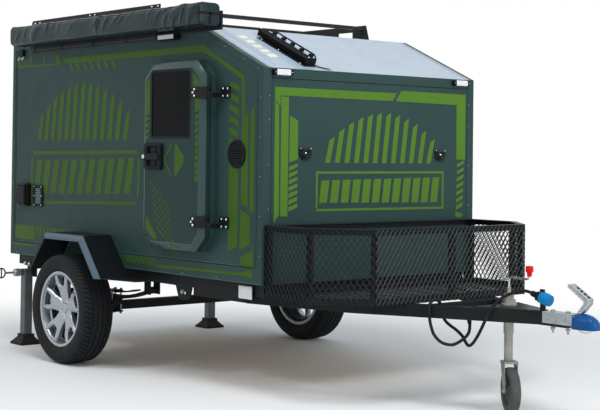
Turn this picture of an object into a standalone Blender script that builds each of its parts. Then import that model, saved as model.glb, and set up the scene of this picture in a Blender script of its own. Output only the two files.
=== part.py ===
# Single-axle camper trailer with a full-width cabin, front basket, side awning bag and roof rack.
# Metres, +Z up, +X forward towards the coupling, +Y to the trailer's left. The floor is z = 0.
import math

import bmesh
import bpy
from mathutils import Matrix, Vector

# Clearances
SEAT_GAP = 0.0003        # between pieces that touch
RUN_GAP = 0.006          # between pieces that move past each other
PIN_GAP = 0.0006         # round a pin in its bore

# Cabin body, with x measured back from its front face
BODY_LENGTH = 2.55
BODY_WIDTH = 1.50
BODY_BOTTOM = 0.558
ROOF_TOP = 1.870
FRONT_TOP = 1.629
SLOPE_RUN = 0.545        # length of the sloping roof front, seen from above
WALL = 0.030             # sandwich panel
FLOOR_THICKNESS = 0.040
SILL_HEIGHT = 0.078
MOULDING_WIDTH = 0.036
MOULDING_PROUD = 0.003
NOSE_REACH = 1.453       # coupling nose in front of the body
TAIL_REACH = 0.040       # lamps behind the body

# Chassis and drawbar
RAIL_HEIGHT = 0.064
RAIL_WIDTH = 0.040
RAIL_OFFSET = 0.680      # rail's middle from the centre line
CROSS_MEMBERS = (0.03, 0.62, 1.15, 2.00, 2.51)     # behind the body's front face
DRAWBAR_HEIGHT = 0.060
DRAWBAR_WIDTH = 0.050
DRAWBAR_APEX = 1.130     # where the two beams' middle lines meet, before the body
DRAWBAR_RUN = 1.340      # from the apex back to the beams' rear ends
DRAWBAR_SLOPE = 0.50     # sideways run for each metre back
DRAWBAR_NOSE = 1.300
NOSE_START = 1.050
GUSSET_BACK = 0.850
GUSSET_FRONT = 1.145
BRACE_FORWARD = 0.620
GUSSET_THICKNESS = 0.006
BEAM_TAPER = 0.020           # beams' loss of height towards their rear ends
DOUBLER_HEIGHT = 0.040       # rail under the chassis rail, behind each beam
DOUBLER_BACK = 0.640
COUPLER_BACK = 1.160
COUPLER_FRONT = 1.330
COUPLER_WALL = 0.004
NECK_END = 1.395
NECK_SIZE = 0.050
LEVER_SEAT = 0.071           # cap's flat top above its lower edge

# Wheels and suspension
WHEEL_BACK = 1.576       # axle behind the body's front face
TYRE_RADIUS = 0.310
TYRE_WIDTH = 0.190
RIM_RADIUS = 0.214       # to the rim's lip
RIM_SEAT_RADIUS = 0.203
RIM_LIP_PLACE = 0.80     # lip's inner face, as a share of the tyre's half width
WHEEL_STEPS = 36         # facets round a tyre and its rim
TRACK_HALF = 0.880       # middle of a wheel from the centre line
AXLE_SIZE = 0.050
STUB_RADIUS = 0.020
HUB_COVER = 0.006        # metal before the stub's bore
SPRING_OFFSET = 0.600
SPRING_WIDTH = 0.050
SPRING_THICKNESS = 0.024
SPRING_HALF_SPAN = 0.400
SPRING_EYE_HEIGHT = 0.430

# Fenders
FENDER_INSET = 0.020     # fender's edge inside the tyre's outer face
FENDER_CHAMFER = 0.020
FENDER_TOP = 0.734
FENDER_FOOT = 0.507
FENDER_TOP_HALF = 0.204
FENDER_BASE_HALF = 0.395
FENDER_SHEET = 0.004
FENDER_LIP = 0.034
STEP_REACH = 0.265

# Doors, with x measured back from the body's front face
DOOR_FRONT = 0.395
DOOR_WIDTH = 0.565
DOOR_BOTTOM = 0.695
DOOR_TOP_DROP = 0.188    # door's top edge below the roof's top
DOOR_CUT = 0.080
DOOR_THICKNESS = 0.044
DOOR_BEVEL = 0.036       # width of the slanted border
DOOR_BEVEL_DROP = 0.020
DOOR_FRAME_PROUD = 0.028
DOORWAY_MARGIN = 0.045   # door leaf beyond the opening, all round
WINDOW_WIDTH = 0.336
WINDOW_HEIGHT = 0.333
WINDOW_SHIFT = 0.295         # window's middle behind the door's front edge
WINDOW_DROP = 0.223          # window's middle below the door's top
WINDOW_RADIUS = 0.008
PANE_THICKNESS = 0.006
PANE_LAP = 0.012
HINGE_DROP = 0.169           # upper hinge's middle below the door's top
HINGE_RISE = 0.155           # lower hinge's middle above the door's bottom
HINGE_LENGTH = 0.058
HINGE_PIN_RADIUS = 0.006
HINGE_PIN_FORWARD = 0.034    # pin before the door's front edge
LATCH_SIZE = (0.160, 0.016, 0.140)
LATCH_SHIFT = 0.440          # latch's middle behind the door's front edge
LATCH_RISE = 0.488           # latch's middle above the door's bottom

# Rear hatch
HATCH_MARGIN = 0.050
HATCH_THICKNESS = 0.034
HATCH_KNUCKLE = 0.011
HATCH_PIN_RADIUS = 0.005
HATCH_PIN_INSET = 0.006      # pin before the body's rear edge
HATCH_PIN_DROP = 0.014       # pin below the roof panel's underside
HATCH_PIN_REACH = 0.040      # pin beyond the hatch's end
REAR_FRAME_THICKNESS = 0.020
REAR_SILL_HEIGHT = 0.100
BULKHEAD_BACK = 2.05

# Basket on the drawbar
BASKET_FRONT = 0.576
BASKET_CORNER = 0.332    # where the cut corners start
BASKET_HALF = 0.740
BASKET_FRONT_HALF = 0.529
BASKET_HEIGHT = 0.360
ANGLE_SIZE = 0.030
MESH_THICKNESS = 0.004
MESH_MARGIN = 0.030          # unbroken edge of each mesh panel
MESH_PITCH = 0.130
MESH_STRAND = 0.018
POST_SIZE = 0.026

# Awning bag, rail, rack and light bar
BAG_FRONT = 0.340
BAG_LENGTH = 1.980
BAG_DEPTH = 0.140
BAG_HEIGHT = 0.124
BAG_RISE = 0.037             # bag's middle above the roof's top
BAG_BACK_GAP = 0.016         # bag's back from the side wall
AWNING_BACK = 0.096          # height of the rail behind the bag
AWNING_DROP = 0.025          # rail's middle below the bag's middle
STRIP_SIZE = (0.012, 0.020)
STRIP_START = 0.551          # light strip's front end behind the bag's front end
STRIP_DROP = 0.079           # light strip's middle below the bag's middle
LAMP_SIZE = (0.170, 0.028, 0.034)
LAMP_SHIFT = 0.470           # lamp's middle behind the bag's front end
LAMP_DROP = 0.0855
RACK_FRONT = 0.790
RACK_LENGTH = 1.640
RACK_RISE = 0.118            # side plates' top above the roof's top
RACK_CREST = 0.034           # raised strip on the kerb side's plate
RACK_CREST_START = 0.210     # strip's front end behind the plate's
RACK_HALF = 0.690
RACK_PLATE = 0.005
RACK_BAR = (0.030, 0.020)
RACK_BAR_BACKS = (0.855, 1.350, 1.850, 2.340)      # bars' middles behind the body's front face
RACK_BAR_DROP = 0.009        # bars' top below the side plates' top
LIGHT_BAR = (0.425, 0.060, 0.036)
LIGHT_BAR_GAP = 0.004        # bar above the slope, on its feet
LIGHT_BAR_SIDE = -0.410
LIGHT_BAR_BACK = 0.255

# Jockey wheel and rear legs
JOCKEY_FORWARD = 0.930
JOCKEY_OUTER_RADIUS = 0.024
JOCKEY_INNER_RADIUS = 0.0205
JOCKEY_TUBE_WALL = 0.003
JOCKEY_OUTER_BOTTOM = 0.370
JOCKEY_OUTER_TOP = 0.545
JOCKEY_WHEEL_RADIUS = 0.108
JOCKEY_WHEEL_WIDTH = 0.046
JOCKEY_TRAIL = 0.045
JOCKEY_TURN = math.radians(33)
LEG_BACK = 2.410
LEG_SIDE = 0.712
LEG_HALF = 0.028                      # half the square tube's size
LEG_PIVOT_HEIGHT = 0.448
LEG_HEAD = 0.020                      # tube above its pin, short enough to swing under the rail
FOOT_HALF = 0.070
FOOT_HEIGHT = 0.064
FOOT_SOLE = 0.016
FOOT_SLEEVE = 0.010          # rubber round the tube
FOOT_SOCKET = 0.020          # tube's depth in the foot

# Lighting cable: x before the body's front face, y, height. It leaves a boss behind the right beam,
# loops under it and out, passes over the beam, hangs behind it and rises to the plug.
CABLE_RADIUS = 0.0075
CABLE_BOSS = (0.795, -0.126, 0.447)     # middle of the boss's lower face
CABLE_ROUTE = (
    (0.795, -0.126, 0.425), (0.799, -0.126, 0.398), (0.802, -0.140, 0.364), (0.790, -0.170, 0.335),
    (0.762, -0.204, 0.313), (0.727, -0.240, 0.322), (0.700, -0.263, 0.356), (0.686, -0.272, 0.398),
    (0.679, -0.275, 0.437), (0.674, -0.275, 0.4725), (0.671, -0.2618, 0.5043), (0.669, -0.230, 0.5175),
    (0.670, -0.1982, 0.5043), (0.673, -0.185, 0.4725),
    (0.678, -0.183, 0.440), (0.690, -0.177, 0.415), (0.709, -0.166, 0.396), (0.740, -0.152, 0.374),
    (0.768, -0.143, 0.349), (0.788, -0.142, 0.323), (0.816, -0.150, 0.310), (0.854, -0.160, 0.330),
    (0.890, -0.162, 0.376), (0.914, -0.159, 0.420), (0.932, -0.150, 0.464), (0.952, -0.134, 0.507),
    (0.976, -0.104, 0.545), (1.006, -0.067, 0.568), (1.038, -0.036, 0.581))
PLUG_BACK = (1.088, -0.022, 0.573)
PLUG_LENGTH = 0.112
PLUG_RADIUS = 0.027
PLUG_DROOP = math.radians(14)
PLUG_LEAD = 0.022            # straight run of cable behind the plug

# Derived places
FRONT_X = (BODY_LENGTH + TAIL_REACH - NOSE_REACH) / 2
REAR_X = FRONT_X - BODY_LENGTH
HALF = BODY_WIDTH / 2
RAIL_TOP = BODY_BOTTOM - SEAT_GAP
RAIL_BOTTOM = RAIL_TOP - RAIL_HEIGHT
DRAWBAR_TOP = RAIL_BOTTOM - SEAT_GAP
DRAWBAR_MIDDLE = DRAWBAR_TOP - DRAWBAR_HEIGHT / 2
WHEEL_X = FRONT_X - WHEEL_BACK
DOOR_TOP = ROOF_TOP - DOOR_TOP_DROP
WINDOW_MIDDLE_BACK = DOOR_FRONT + WINDOW_SHIFT
WINDOW_MIDDLE_HEIGHT = DOOR_TOP - WINDOW_DROP
HINGE_HEIGHTS = (DOOR_TOP - HINGE_DROP, DOOR_BOTTOM + HINGE_RISE)
LATCH_MIDDLE_BACK = DOOR_FRONT + LATCH_SHIFT
LATCH_MIDDLE_HEIGHT = DOOR_BOTTOM + LATCH_RISE
BAG_MIDDLE_HEIGHT = ROOF_TOP + BAG_RISE
RACK_TOP = ROOF_TOP + RACK_RISE
FENDER_OUTER = TRACK_HALF + TYRE_WIDTH / 2 - FENDER_INSET
HUB_FACE = TRACK_HALF + TYRE_WIDTH * 0.26
DOOR_OUTER = HALF + DOOR_FRAME_PROUD + RUN_GAP + DOOR_THICKNESS
REAR_FRAME_BACK = REAR_X + HATCH_THICKNESS + RUN_GAP
REAR_FRAME_FRONT = REAR_FRAME_BACK + REAR_FRAME_THICKNESS
HATCH_PIN = (REAR_X + HATCH_PIN_INSET, ROOF_TOP - WALL - HATCH_PIN_DROP)


def clear_scene():
    for item in list(bpy.data.objects):
        bpy.data.objects.remove(item, do_unlink=True)


clear_scene()
parts = bpy.data.collections.new("camper_trailer")
cutters = bpy.data.collections.new("cutters")
bpy.context.scene.collection.children.link(parts)
bpy.context.scene.collection.children.link(cutters)


def material(name, colour, roughness, metallic=0.0):
    made = bpy.data.materials.new(name)
    made.use_nodes = True
    shader = made.node_tree.nodes["Principled BSDF"]
    shader.inputs["Base Color"].default_value = (*colour, 1.0)
    shader.inputs["Roughness"].default_value = roughness
    shader.inputs["Metallic"].default_value = metallic
    return made


GREEN = material("body paint", (0.030, 0.062, 0.060), 0.35)
PALE = material("roof sheet", (0.45, 0.55, 0.62), 0.30)
BLACK = material("black paint", (0.012, 0.013, 0.014), 0.45)
PLASTIC = material("black plastic", (0.015, 0.015, 0.016), 0.50)
GALVANISED = material("galvanised steel", (0.62, 0.64, 0.65), 0.40, 1.0)
ALUMINIUM = material("aluminium", (0.78, 0.79, 0.80), 0.35, 1.0)
ALLOY = material("alloy wheel", (0.70, 0.72, 0.74), 0.28, 1.0)
RUBBER = material("rubber", (0.015, 0.015, 0.015), 0.80)
GLASS = material("dark window", (0.010, 0.012, 0.014), 0.06)
LENS = material("clear lens", (0.85, 0.86, 0.88), 0.15)
RED = material("red lens", (0.60, 0.02, 0.02), 0.20)
BLUE = material("blue plastic", (0.02, 0.18, 0.45), 0.35)
FABRIC = material("awning bag", (0.030, 0.038, 0.036), 0.75)
PLYWOOD = material("inner panel", (0.55, 0.45, 0.32), 0.60)


def place(name, mesh, finish, location=(0, 0, 0), rotation=(0, 0, 0), group=None):
    made = bpy.data.objects.new(name, mesh)
    made.location = location
    made.rotation_euler = rotation
    if finish is not None:
        mesh.materials.clear()
        mesh.materials.append(finish)
    (group or parts).objects.link(made)
    return made


def mesh_from(name, build):
    made = bmesh.new()
    build(made)
    mesh = bpy.data.meshes.new(name)
    made.to_mesh(mesh)
    made.free()
    return mesh


def box(name, size, centre, finish=None, rotation=(0, 0, 0), bevel=0.0):
    def build(made):
        bmesh.ops.create_cube(made, size=1.0)
        bmesh.ops.scale(made, vec=size, verts=made.verts)
    item = place(name, mesh_from(name, build), finish, centre, rotation)
    if bevel:
        soften(item, bevel)
    return item


def cylinder(name, radius, length, centre, axis="Z", finish=None, segments=24, tip=None):
    def build(made):
        bmesh.ops.create_cone(made, cap_ends=True, segments=segments, radius1=radius,
                              radius2=radius if tip is None else tip, depth=length)
    turn = {"X": (0, math.pi / 2, 0), "Y": (-math.pi / 2, 0, 0), "Z": (0, 0, 0)}[axis]
    return place(name, mesh_from(name, build), finish, centre, turn)


SIDE_PLANE = (math.pi / 2, 0, 0)             # outline x, y become world X, Z
FRONT_PLANE = (math.pi / 2, 0, math.pi / 2)  # outline x, y become world Y, Z


def flat_piece(name, outlines, thickness, centre, rotation=(0, 0, 0), finish=None):
    """Plate whose outline, and holes, are 2D splines; its thickness is centred on the plane."""
    curve = bpy.data.curves.new(name, "CURVE")
    curve.dimensions = "2D"
    curve.fill_mode = "BOTH"
    curve.extrude = thickness / 2
    for outline in outlines:
        spline = curve.splines.new("POLY")
        spline.points.add(len(outline) - 1)
        for point, (across, up) in zip(spline.points, outline):
            point.co = (across, up, 0, 1)
        spline.use_cyclic_u = True
    return curve_to_mesh(name, curve, finish, centre, rotation)


def rod(name, points, radius, finish=None, resolution=2, closed=False):
    """Round bar along points."""
    curve = bpy.data.curves.new(name, "CURVE")
    curve.dimensions = "3D"
    curve.bevel_depth = radius
    curve.bevel_resolution = resolution
    curve.use_fill_caps = not closed
    spline = curve.splines.new("POLY")
    spline.points.add(len(points) - 1)
    for point, where in zip(spline.points, points):
        point.co = (*where, 1)
    spline.use_cyclic_u = closed
    return curve_to_mesh(name, curve, finish)


def curve_to_mesh(name, curve, finish, centre=(0, 0, 0), rotation=(0, 0, 0)):
    source = bpy.data.objects.new(name + " outline", curve)
    source.location = centre
    source.rotation_euler = rotation
    cutters.objects.link(source)
    bpy.context.view_layer.update()
    shape = source.evaluated_get(bpy.context.evaluated_depsgraph_get())
    mesh = bpy.data.meshes.new_from_object(shape)
    matrix = source.matrix_world.copy()
    bpy.data.objects.remove(source)
    made = bmesh.new()
    made.from_mesh(mesh)
    bmesh.ops.remove_doubles(made, verts=made.verts, dist=0.00001)
    bmesh.ops.recalc_face_normals(made, faces=made.faces)
    made.to_mesh(mesh)
    made.free()
    item = place(name, mesh, finish)
    item.matrix_world = matrix
    return item


def turned(name, profile, centre, axis="Z", finish=None, steps=32):
    """Solid of revolution of a closed profile of (radius, height) points about the axis."""
    def build(made):
        points = [made.verts.new((radius, 0, height)) for radius, height in profile]
        edges = [made.edges.new((a, b)) for a, b in zip(points, points[1:] + points[:1])]
        made.normal_update()
        bmesh.ops.spin(made, geom=points + edges, cent=(0, 0, 0), axis=(0, 0, 1),
                       angle=2 * math.pi, steps=steps, use_merge=True)
        bmesh.ops.remove_doubles(made, verts=made.verts, dist=0.00001)
        bmesh.ops.recalc_face_normals(made, faces=made.faces)
    turn = {"X": (0, math.pi / 2, 0), "Y": (-math.pi / 2, 0, 0), "Z": (0, 0, 0)}[axis]
    return place(name, mesh_from(name, build), finish, centre, turn)


def soften(item, width, segments=1, angle=40):
    bevel = item.modifiers.new("edges", "BEVEL")
    bevel.width = width
    bevel.segments = segments
    bevel.limit_method = "ANGLE"
    bevel.angle_limit = math.radians(angle)
    return item


def bevelled_slab(name, outline, inner_y, outer_y, side, width, drop, finish=None):
    """Plate on a side of the body whose outer face is drawn in by width; its edge slants by drop."""
    thickness = outer_y - inner_y - drop
    slab = flat_piece(name, [outline], thickness, (0, side * (inner_y + thickness / 2), 0), SIDE_PLANE, finish)
    merge_flat_faces(slab.data)
    made = bmesh.new()
    made.from_mesh(slab.data)
    outer = [face for face in made.faces if -side * face.normal.z > 0.9]
    bmesh.ops.inset_individual(made, faces=outer, thickness=width, depth=drop, use_even_offset=True)
    made.to_mesh(slab.data)
    made.free()
    return slab


def settle(item):
    """Turn an object's modifiers into its mesh."""
    bpy.context.view_layer.update()
    shape = item.evaluated_get(bpy.context.evaluated_depsgraph_get())
    mesh = bpy.data.meshes.new_from_object(shape)
    item.modifiers.clear()
    item.data = mesh
    return item


def combine(item, others, operation):
    for other in others:
        settle(other)
        other.display_type = "WIRE"
        other.hide_render = True
        change = item.modifiers.new(operation.lower(), "BOOLEAN")
        change.operation = operation
        change.solver = "EXACT"
        change.object = other
    settle(item)
    merge_flat_faces(item.data)
    for other in others:
        bpy.data.objects.remove(other)
    return item


def merge_flat_faces(mesh):
    """Join faces of one plane, which a Boolean leaves split."""
    made = bmesh.new()
    made.from_mesh(mesh)
    bmesh.ops.dissolve_limit(made, angle_limit=math.radians(0.2), verts=made.verts, edges=made.edges)
    made.to_mesh(mesh)
    made.free()


def join(item, *others):
    return combine(settle(item), others, "UNION")


def cut(item, *others):
    return combine(settle(item), others, "DIFFERENCE")


def round_rectangle(width, height, radius, steps=4, centre=(0, 0)):
    corners = ((1, 1, 0), (-1, 1, 90), (-1, -1, 180), (1, -1, 270))
    outline = []
    for side, up, start in corners:
        for step in range(steps + 1):
            angle = math.radians(start + 90 * step / steps)
            outline.append((centre[0] + side * (width / 2 - radius) + radius * math.cos(angle),
                            centre[1] + up * (height / 2 - radius) + radius * math.sin(angle)))
    return outline


def circle(radius, steps=24, centre=(0, 0)):
    return [(centre[0] + radius * math.cos(2 * math.pi * step / steps),
             centre[1] + radius * math.sin(2 * math.pi * step / steps)) for step in range(steps)]


def cut_corner_outline(left, right, bottom, top, corner):
    return [(left + corner, bottom), (right - corner, bottom), (right, bottom + corner),
            (right, top - corner), (right - corner, top), (left + corner, top),
            (left, top - corner), (left, bottom + corner)]


def chassis_frame():
    rails = []
    length = BODY_LENGTH - 0.04
    middle = FRONT_X - 0.02 - length / 2
    height = (RAIL_TOP + RAIL_BOTTOM) / 2
    for side in (-1, 1):
        rails.append(box("rail", (length, RAIL_WIDTH, RAIL_HEIGHT),
                         (middle, side * RAIL_OFFSET, height)))
    for back in CROSS_MEMBERS:
        rails.append(box("cross member", (RAIL_WIDTH, 2 * RAIL_OFFSET, RAIL_HEIGHT - 0.004),
                         (FRONT_X - back - RAIL_WIDTH / 2, 0, height)))
    for side in (-1, 1):
        rails += spring_hangers(side) + jacking_bracket(side) + leg_bracket(side)
    frame = rails.pop(0)
    frame.name = "chassis_frame"
    frame.data.materials.append(BLACK)
    return join(frame, *rails)


def spring_hangers(side):
    pieces = []
    drop = RAIL_BOTTOM - SPRING_EYE_HEIGHT
    for end in (-1, 1):
        x = WHEEL_X + end * SPRING_HALF_SPAN
        for cheek in (-1, 1):
            y = side * SPRING_OFFSET + cheek * (SPRING_WIDTH / 2 + 0.006)
            pieces.append(box("cheek", (0.060, 0.006, drop + 0.045), (x, y, RAIL_BOTTOM - drop / 2)))
        pieces.append(box("hanger top", (0.080, RAIL_OFFSET - SPRING_OFFSET + 0.09, 0.012),
                          (x, side * (RAIL_OFFSET + SPRING_OFFSET - 0.03) / 2, RAIL_BOTTOM + 0.002)))
        pieces.append(cylinder("spring pin", 0.008, SPRING_WIDTH + 0.018,
                               (x, side * SPRING_OFFSET, SPRING_EYE_HEIGHT), "Y", segments=10))
    return pieces


def jacking_bracket(side):
    x = FRONT_X - 0.735
    outline = [(-0.078, 0.012), (0.078, 0.012), (0.060, -0.056), (0.020, -0.072), (-0.040, -0.072)]
    plate = flat_piece("jacking bracket", [outline, circle(0.010, 12, (0.01, -0.036))], 0.008,
                       (x, side * (RAIL_OFFSET + RAIL_WIDTH / 2 - 0.006), RAIL_BOTTOM), SIDE_PLANE)
    return [plate]


def leg_bracket(side):
    x = FRONT_X - LEG_BACK
    inner = LEG_SIDE - LEG_HALF - RUN_GAP
    plate = box("leg plate", (0.110, 0.008, 0.100), (x, side * (inner - 0.004), LEG_PIVOT_HEIGHT + 0.02))
    pin = cylinder("leg pin", 0.012, 0.120, (x, side * (inner + 0.050), LEG_PIVOT_HEIGHT), "Y", segments=16)
    return [plate, pin]


def drawbar():
    beams = []
    for side in (-1, 1):
        angle = math.atan(DRAWBAR_SLOPE) * -side
        run = DRAWBAR_RUN / math.cos(angle)
        x = FRONT_X + DRAWBAR_APEX - DRAWBAR_RUN / 2
        y = side * DRAWBAR_RUN * DRAWBAR_SLOPE / 2
        beams.append(box("beam", (run, DRAWBAR_WIDTH, DRAWBAR_HEIGHT), (x, y, DRAWBAR_MIDDLE),
                         rotation=(0, 0, angle)))
        beams.append(box("doubler", (DOUBLER_BACK - 0.200, RAIL_WIDTH, DOUBLER_HEIGHT),
                         (FRONT_X - (DOUBLER_BACK + 0.200) / 2, side * RAIL_OFFSET,
                          DRAWBAR_TOP - DOUBLER_HEIGHT / 2 - 0.0002)))
    nose = box("nose tube", (DRAWBAR_NOSE - NOSE_START, 0.060, DRAWBAR_HEIGHT - 0.0004),
               (FRONT_X + (DRAWBAR_NOSE + NOSE_START) / 2, 0, DRAWBAR_MIDDLE))
    gusset_top = DRAWBAR_TOP + GUSSET_THICKNESS
    back, front = GUSSET_BACK, GUSSET_FRONT
    outline = [(back, -(DRAWBAR_APEX - back) * DRAWBAR_SLOPE - 0.02), (front, -0.028), (front, 0.028),
               (back, (DRAWBAR_APEX - back) * DRAWBAR_SLOPE + 0.02)]
    gusset = flat_piece("gusset", [outline, circle(JOCKEY_OUTER_RADIUS + 0.001, 24, (JOCKEY_FORWARD, 0))],
                        GUSSET_THICKNESS + 0.001, (FRONT_X, 0, gusset_top - (GUSSET_THICKNESS + 0.001) / 2))
    brace = box("brace", (0.040, 2 * (DRAWBAR_APEX - BRACE_FORWARD) * DRAWBAR_SLOPE, DRAWBAR_HEIGHT - 0.006),
                (FRONT_X + BRACE_FORWARD, 0, DRAWBAR_MIDDLE))
    boss_x, boss_y, boss_low = CABLE_BOSS
    boss = box("cable boss", (0.030, 0.040, 0.036), (FRONT_X + boss_x, boss_y - 0.002, boss_low + 0.018))
    beam = beams.pop(0)
    beam.name = "drawbar"
    beam.data.materials.append(BLACK)
    join(beam, *beams, nose, gusset, brace, boss)
    low = DRAWBAR_TOP - DRAWBAR_HEIGHT
    rear, start = DRAWBAR_APEX - DRAWBAR_RUN - 0.080, 0.300
    wedge = [(rear, low - 0.020), (start, low - 0.020), (start, low), (rear, low + BEAM_TAPER)]
    return cut(beam, flat_piece("taper", [wedge], 2 * BODY_WIDTH, (FRONT_X, 0, 0), SIDE_PLANE))


def smooth_path(points, steps=2):
    """Points on a smooth curve through the given ones, so many to each span."""
    ends = [points[0] * 2 - points[1]] + points + [points[-1] * 2 - points[-2]]
    path = []
    for before, here, after, beyond in zip(ends, ends[1:], ends[2:], ends[3:]):
        for step in range(steps):
            t = step / steps
            path.append(0.5 * (2 * here + (after - before) * t
                               + (2 * before - 5 * here + 4 * after - beyond) * t ** 2
                               + (3 * here - before - 3 * after + beyond) * t ** 3))
    return path + [points[-1]]


def plug_axis():
    """Back of the plug and its direction, level sideways and drooping forward."""
    return (Vector(PLUG_BACK) + Vector((FRONT_X, 0, 0)),
            Vector((math.cos(PLUG_DROOP), 0, -math.sin(PLUG_DROOP))))


def drawbar_cable():
    shift = Vector((FRONT_X, 0, 0))
    back, along = plug_axis()
    route = [Vector(point) + shift for point in CABLE_ROUTE]
    start = Vector(CABLE_BOSS) + shift - Vector((0, 0, SEAT_GAP))
    path = smooth_path(route + [back - along * PLUG_LEAD])
    return rod("drawbar_cable", [start] + path + [back - along * SEAT_GAP], CABLE_RADIUS, RUBBER, 2)


def cable_plug():
    """Seven-pole style plug with a cable grip, a hinge ring with its latch, and a capped socket end."""
    back, along = plug_axis()
    radius = PLUG_RADIUS
    profile = [(0.0, 0.0), (0.011, 0.0), (0.013, 0.030), (0.018, 0.036), (0.020, 0.050), (radius, 0.053), (radius, 0.062),
               (radius - 0.003, 0.064), (radius, PLUG_LENGTH - 0.006), (radius - 0.006, PLUG_LENGTH), (0.0, PLUG_LENGTH)]
    plug = turned("cable_plug", profile, back, "Z", BLUE, 24)
    plug.rotation_euler = (0, math.pi / 2 + PLUG_DROOP, 0)
    middle = back + along * 0.072
    rest = DRAWBAR_TOP + GUSSET_THICKNESS + SEAT_GAP
    latch = box("latch", (0.026, 0.010, middle.z - rest), (middle.x - 0.004, middle.y, (middle.z + rest) / 2))
    lug = box("lid hinge", (0.020, 0.014, 0.020), (back + along * 0.058) + Vector((0.006, 0, radius)))
    return join(plug, latch, lug)


def axle_beam():
    inner = TRACK_HALF - TYRE_WIDTH / 2 - 0.012
    beam = box("axle_beam", (AXLE_SIZE, 2 * inner, AXLE_SIZE), (WHEEL_X, 0, TYRE_RADIUS), BLACK)
    pieces = []
    for side in (-1, 1):
        root, end = inner - 0.020, HUB_FACE - HUB_COVER - RUN_GAP
        pieces.append(cylinder("stub", STUB_RADIUS, end - root, (WHEEL_X, side * (root + end) / 2, TYRE_RADIUS), "Y"))
        pieces.append(box("spring pad", (0.10, 0.060, 0.03),
                          (WHEEL_X, side * SPRING_OFFSET, TYRE_RADIUS + AXLE_SIZE / 2)))
    return join(beam, *pieces)


def leaf_spring(label, side):
    """Arched leaf with an eye at each end, its middle on the axle's pad."""
    middle = TYRE_RADIUS + AXLE_SIZE / 2 + 0.015 + SEAT_GAP + SPRING_THICKNESS / 2
    rise = SPRING_EYE_HEIGHT - middle
    steps = 12
    upper = []
    lower = []
    for step in range(steps + 1):
        across = -SPRING_HALF_SPAN + 2 * SPRING_HALF_SPAN * step / steps
        height = middle + rise * (across / SPRING_HALF_SPAN) ** 2
        thin = SPRING_THICKNESS * (0.5 - 0.22 * abs(across / SPRING_HALF_SPAN))
        upper.append((across, height + thin))
        lower.append((across, height - thin))
    leaf = flat_piece("leaf_spring_" + label, [upper + lower[::-1]], SPRING_WIDTH,
                      (WHEEL_X, side * SPRING_OFFSET, 0), SIDE_PLANE, BLACK)
    eyes = []
    bores = []
    for end in (-1, 1):
        where = (WHEEL_X + end * SPRING_HALF_SPAN, side * SPRING_OFFSET, SPRING_EYE_HEIGHT)
        eyes.append(cylinder("eye", 0.020, SPRING_WIDTH, where, "Y", segments=16))
        bores.append(cylinder("bore", 0.008 + PIN_GAP, SPRING_WIDTH + 0.01, where, "Y", segments=10))
    join(leaf, *eyes)
    return cut(leaf, *bores)


def body_section():
    """Outer and inner line of roof, slope and front wall, from the tail to the floor."""
    outer = [Vector((REAR_X, ROOF_TOP)), Vector((FRONT_X - SLOPE_RUN, ROOF_TOP)),
             Vector((FRONT_X, FRONT_TOP)), Vector((FRONT_X, BODY_BOTTOM))]
    directions = [(b - a).normalized() for a, b in zip(outer, outer[1:])]
    inwards = [Vector((along.y, -along.x)) for along in directions]
    inner = [outer[0] + inwards[0] * WALL]
    for corner in (1, 2):
        bisector = (inwards[corner - 1] + inwards[corner]).normalized()
        inner.append(outer[corner] + bisector * WALL / bisector.dot(inwards[corner]))
    inner.append(outer[3] + inwards[2] * WALL)
    return outer, inner, directions


def skin_panel(name, index, finish):
    outer, inner, directions = body_section()
    shift = directions[index] * SEAT_GAP
    outline = [outer[index] + shift, outer[index + 1] - shift, inner[index + 1] - shift, inner[index] + shift]
    width = BODY_WIDTH - 2 * WALL - 2 * SEAT_GAP
    return flat_piece(name, [[tuple(point) for point in outline]], width, (0, 0, 0), SIDE_PLANE, finish)


def side_outline(inset=0.0):
    outer = [(REAR_X + inset, BODY_BOTTOM + inset), (FRONT_X - inset, BODY_BOTTOM + inset),
             (FRONT_X - inset, FRONT_TOP - inset * 0.8), (FRONT_X - SLOPE_RUN - inset * 0.22, ROOF_TOP - inset),
             (REAR_X + inset, ROOF_TOP - inset)]
    return outer


def door_outline(margin=0.0):
    """Cut-cornered door outline, drawn inwards by margin."""
    right = FRONT_X - DOOR_FRONT - margin
    left = FRONT_X - DOOR_FRONT - DOOR_WIDTH + margin
    return cut_corner_outline(left, right, DOOR_BOTTOM + margin, DOOR_TOP - margin, DOOR_CUT - margin * 0.4)


def side_wall(label, side):
    wall = flat_piece("side_wall_" + label, [side_outline(), door_outline(DOORWAY_MARGIN)], WALL,
                      (0, side * (HALF - WALL / 2), 0), SIDE_PLANE, GREEN)
    bite = 0.002
    depth = MOULDING_PROUD + bite
    y = side * (HALF - bite + depth / 2)
    ring = flat_piece("moulding", [side_outline(), side_outline(MOULDING_WIDTH)], depth, (0, y, 0), SIDE_PLANE)
    sill = box("sill", (BODY_LENGTH - 0.0004, depth, SILL_HEIGHT - 0.0003),
               ((FRONT_X + REAR_X) / 2, y, BODY_BOTTOM + SILL_HEIGHT / 2))
    frame_depth = DOOR_FRAME_PROUD + bite
    frame = flat_piece("door frame", [door_outline(0.001), door_outline(DOORWAY_MARGIN + 0.002)], frame_depth,
                       (0, side * (HALF - bite + frame_depth / 2), 0), SIDE_PLANE)
    pin_end = HALF - HATCH_MARGIN - HATCH_PIN_REACH
    pin_root = HALF - WALL / 2
    pin = cylinder("hatch pin", HATCH_PIN_RADIUS, pin_root - pin_end,
                   (HATCH_PIN[0], side * (pin_root + pin_end) / 2, HATCH_PIN[1]), "Y", segments=12)
    return join(wall, ring, sill, frame, pin)


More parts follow.
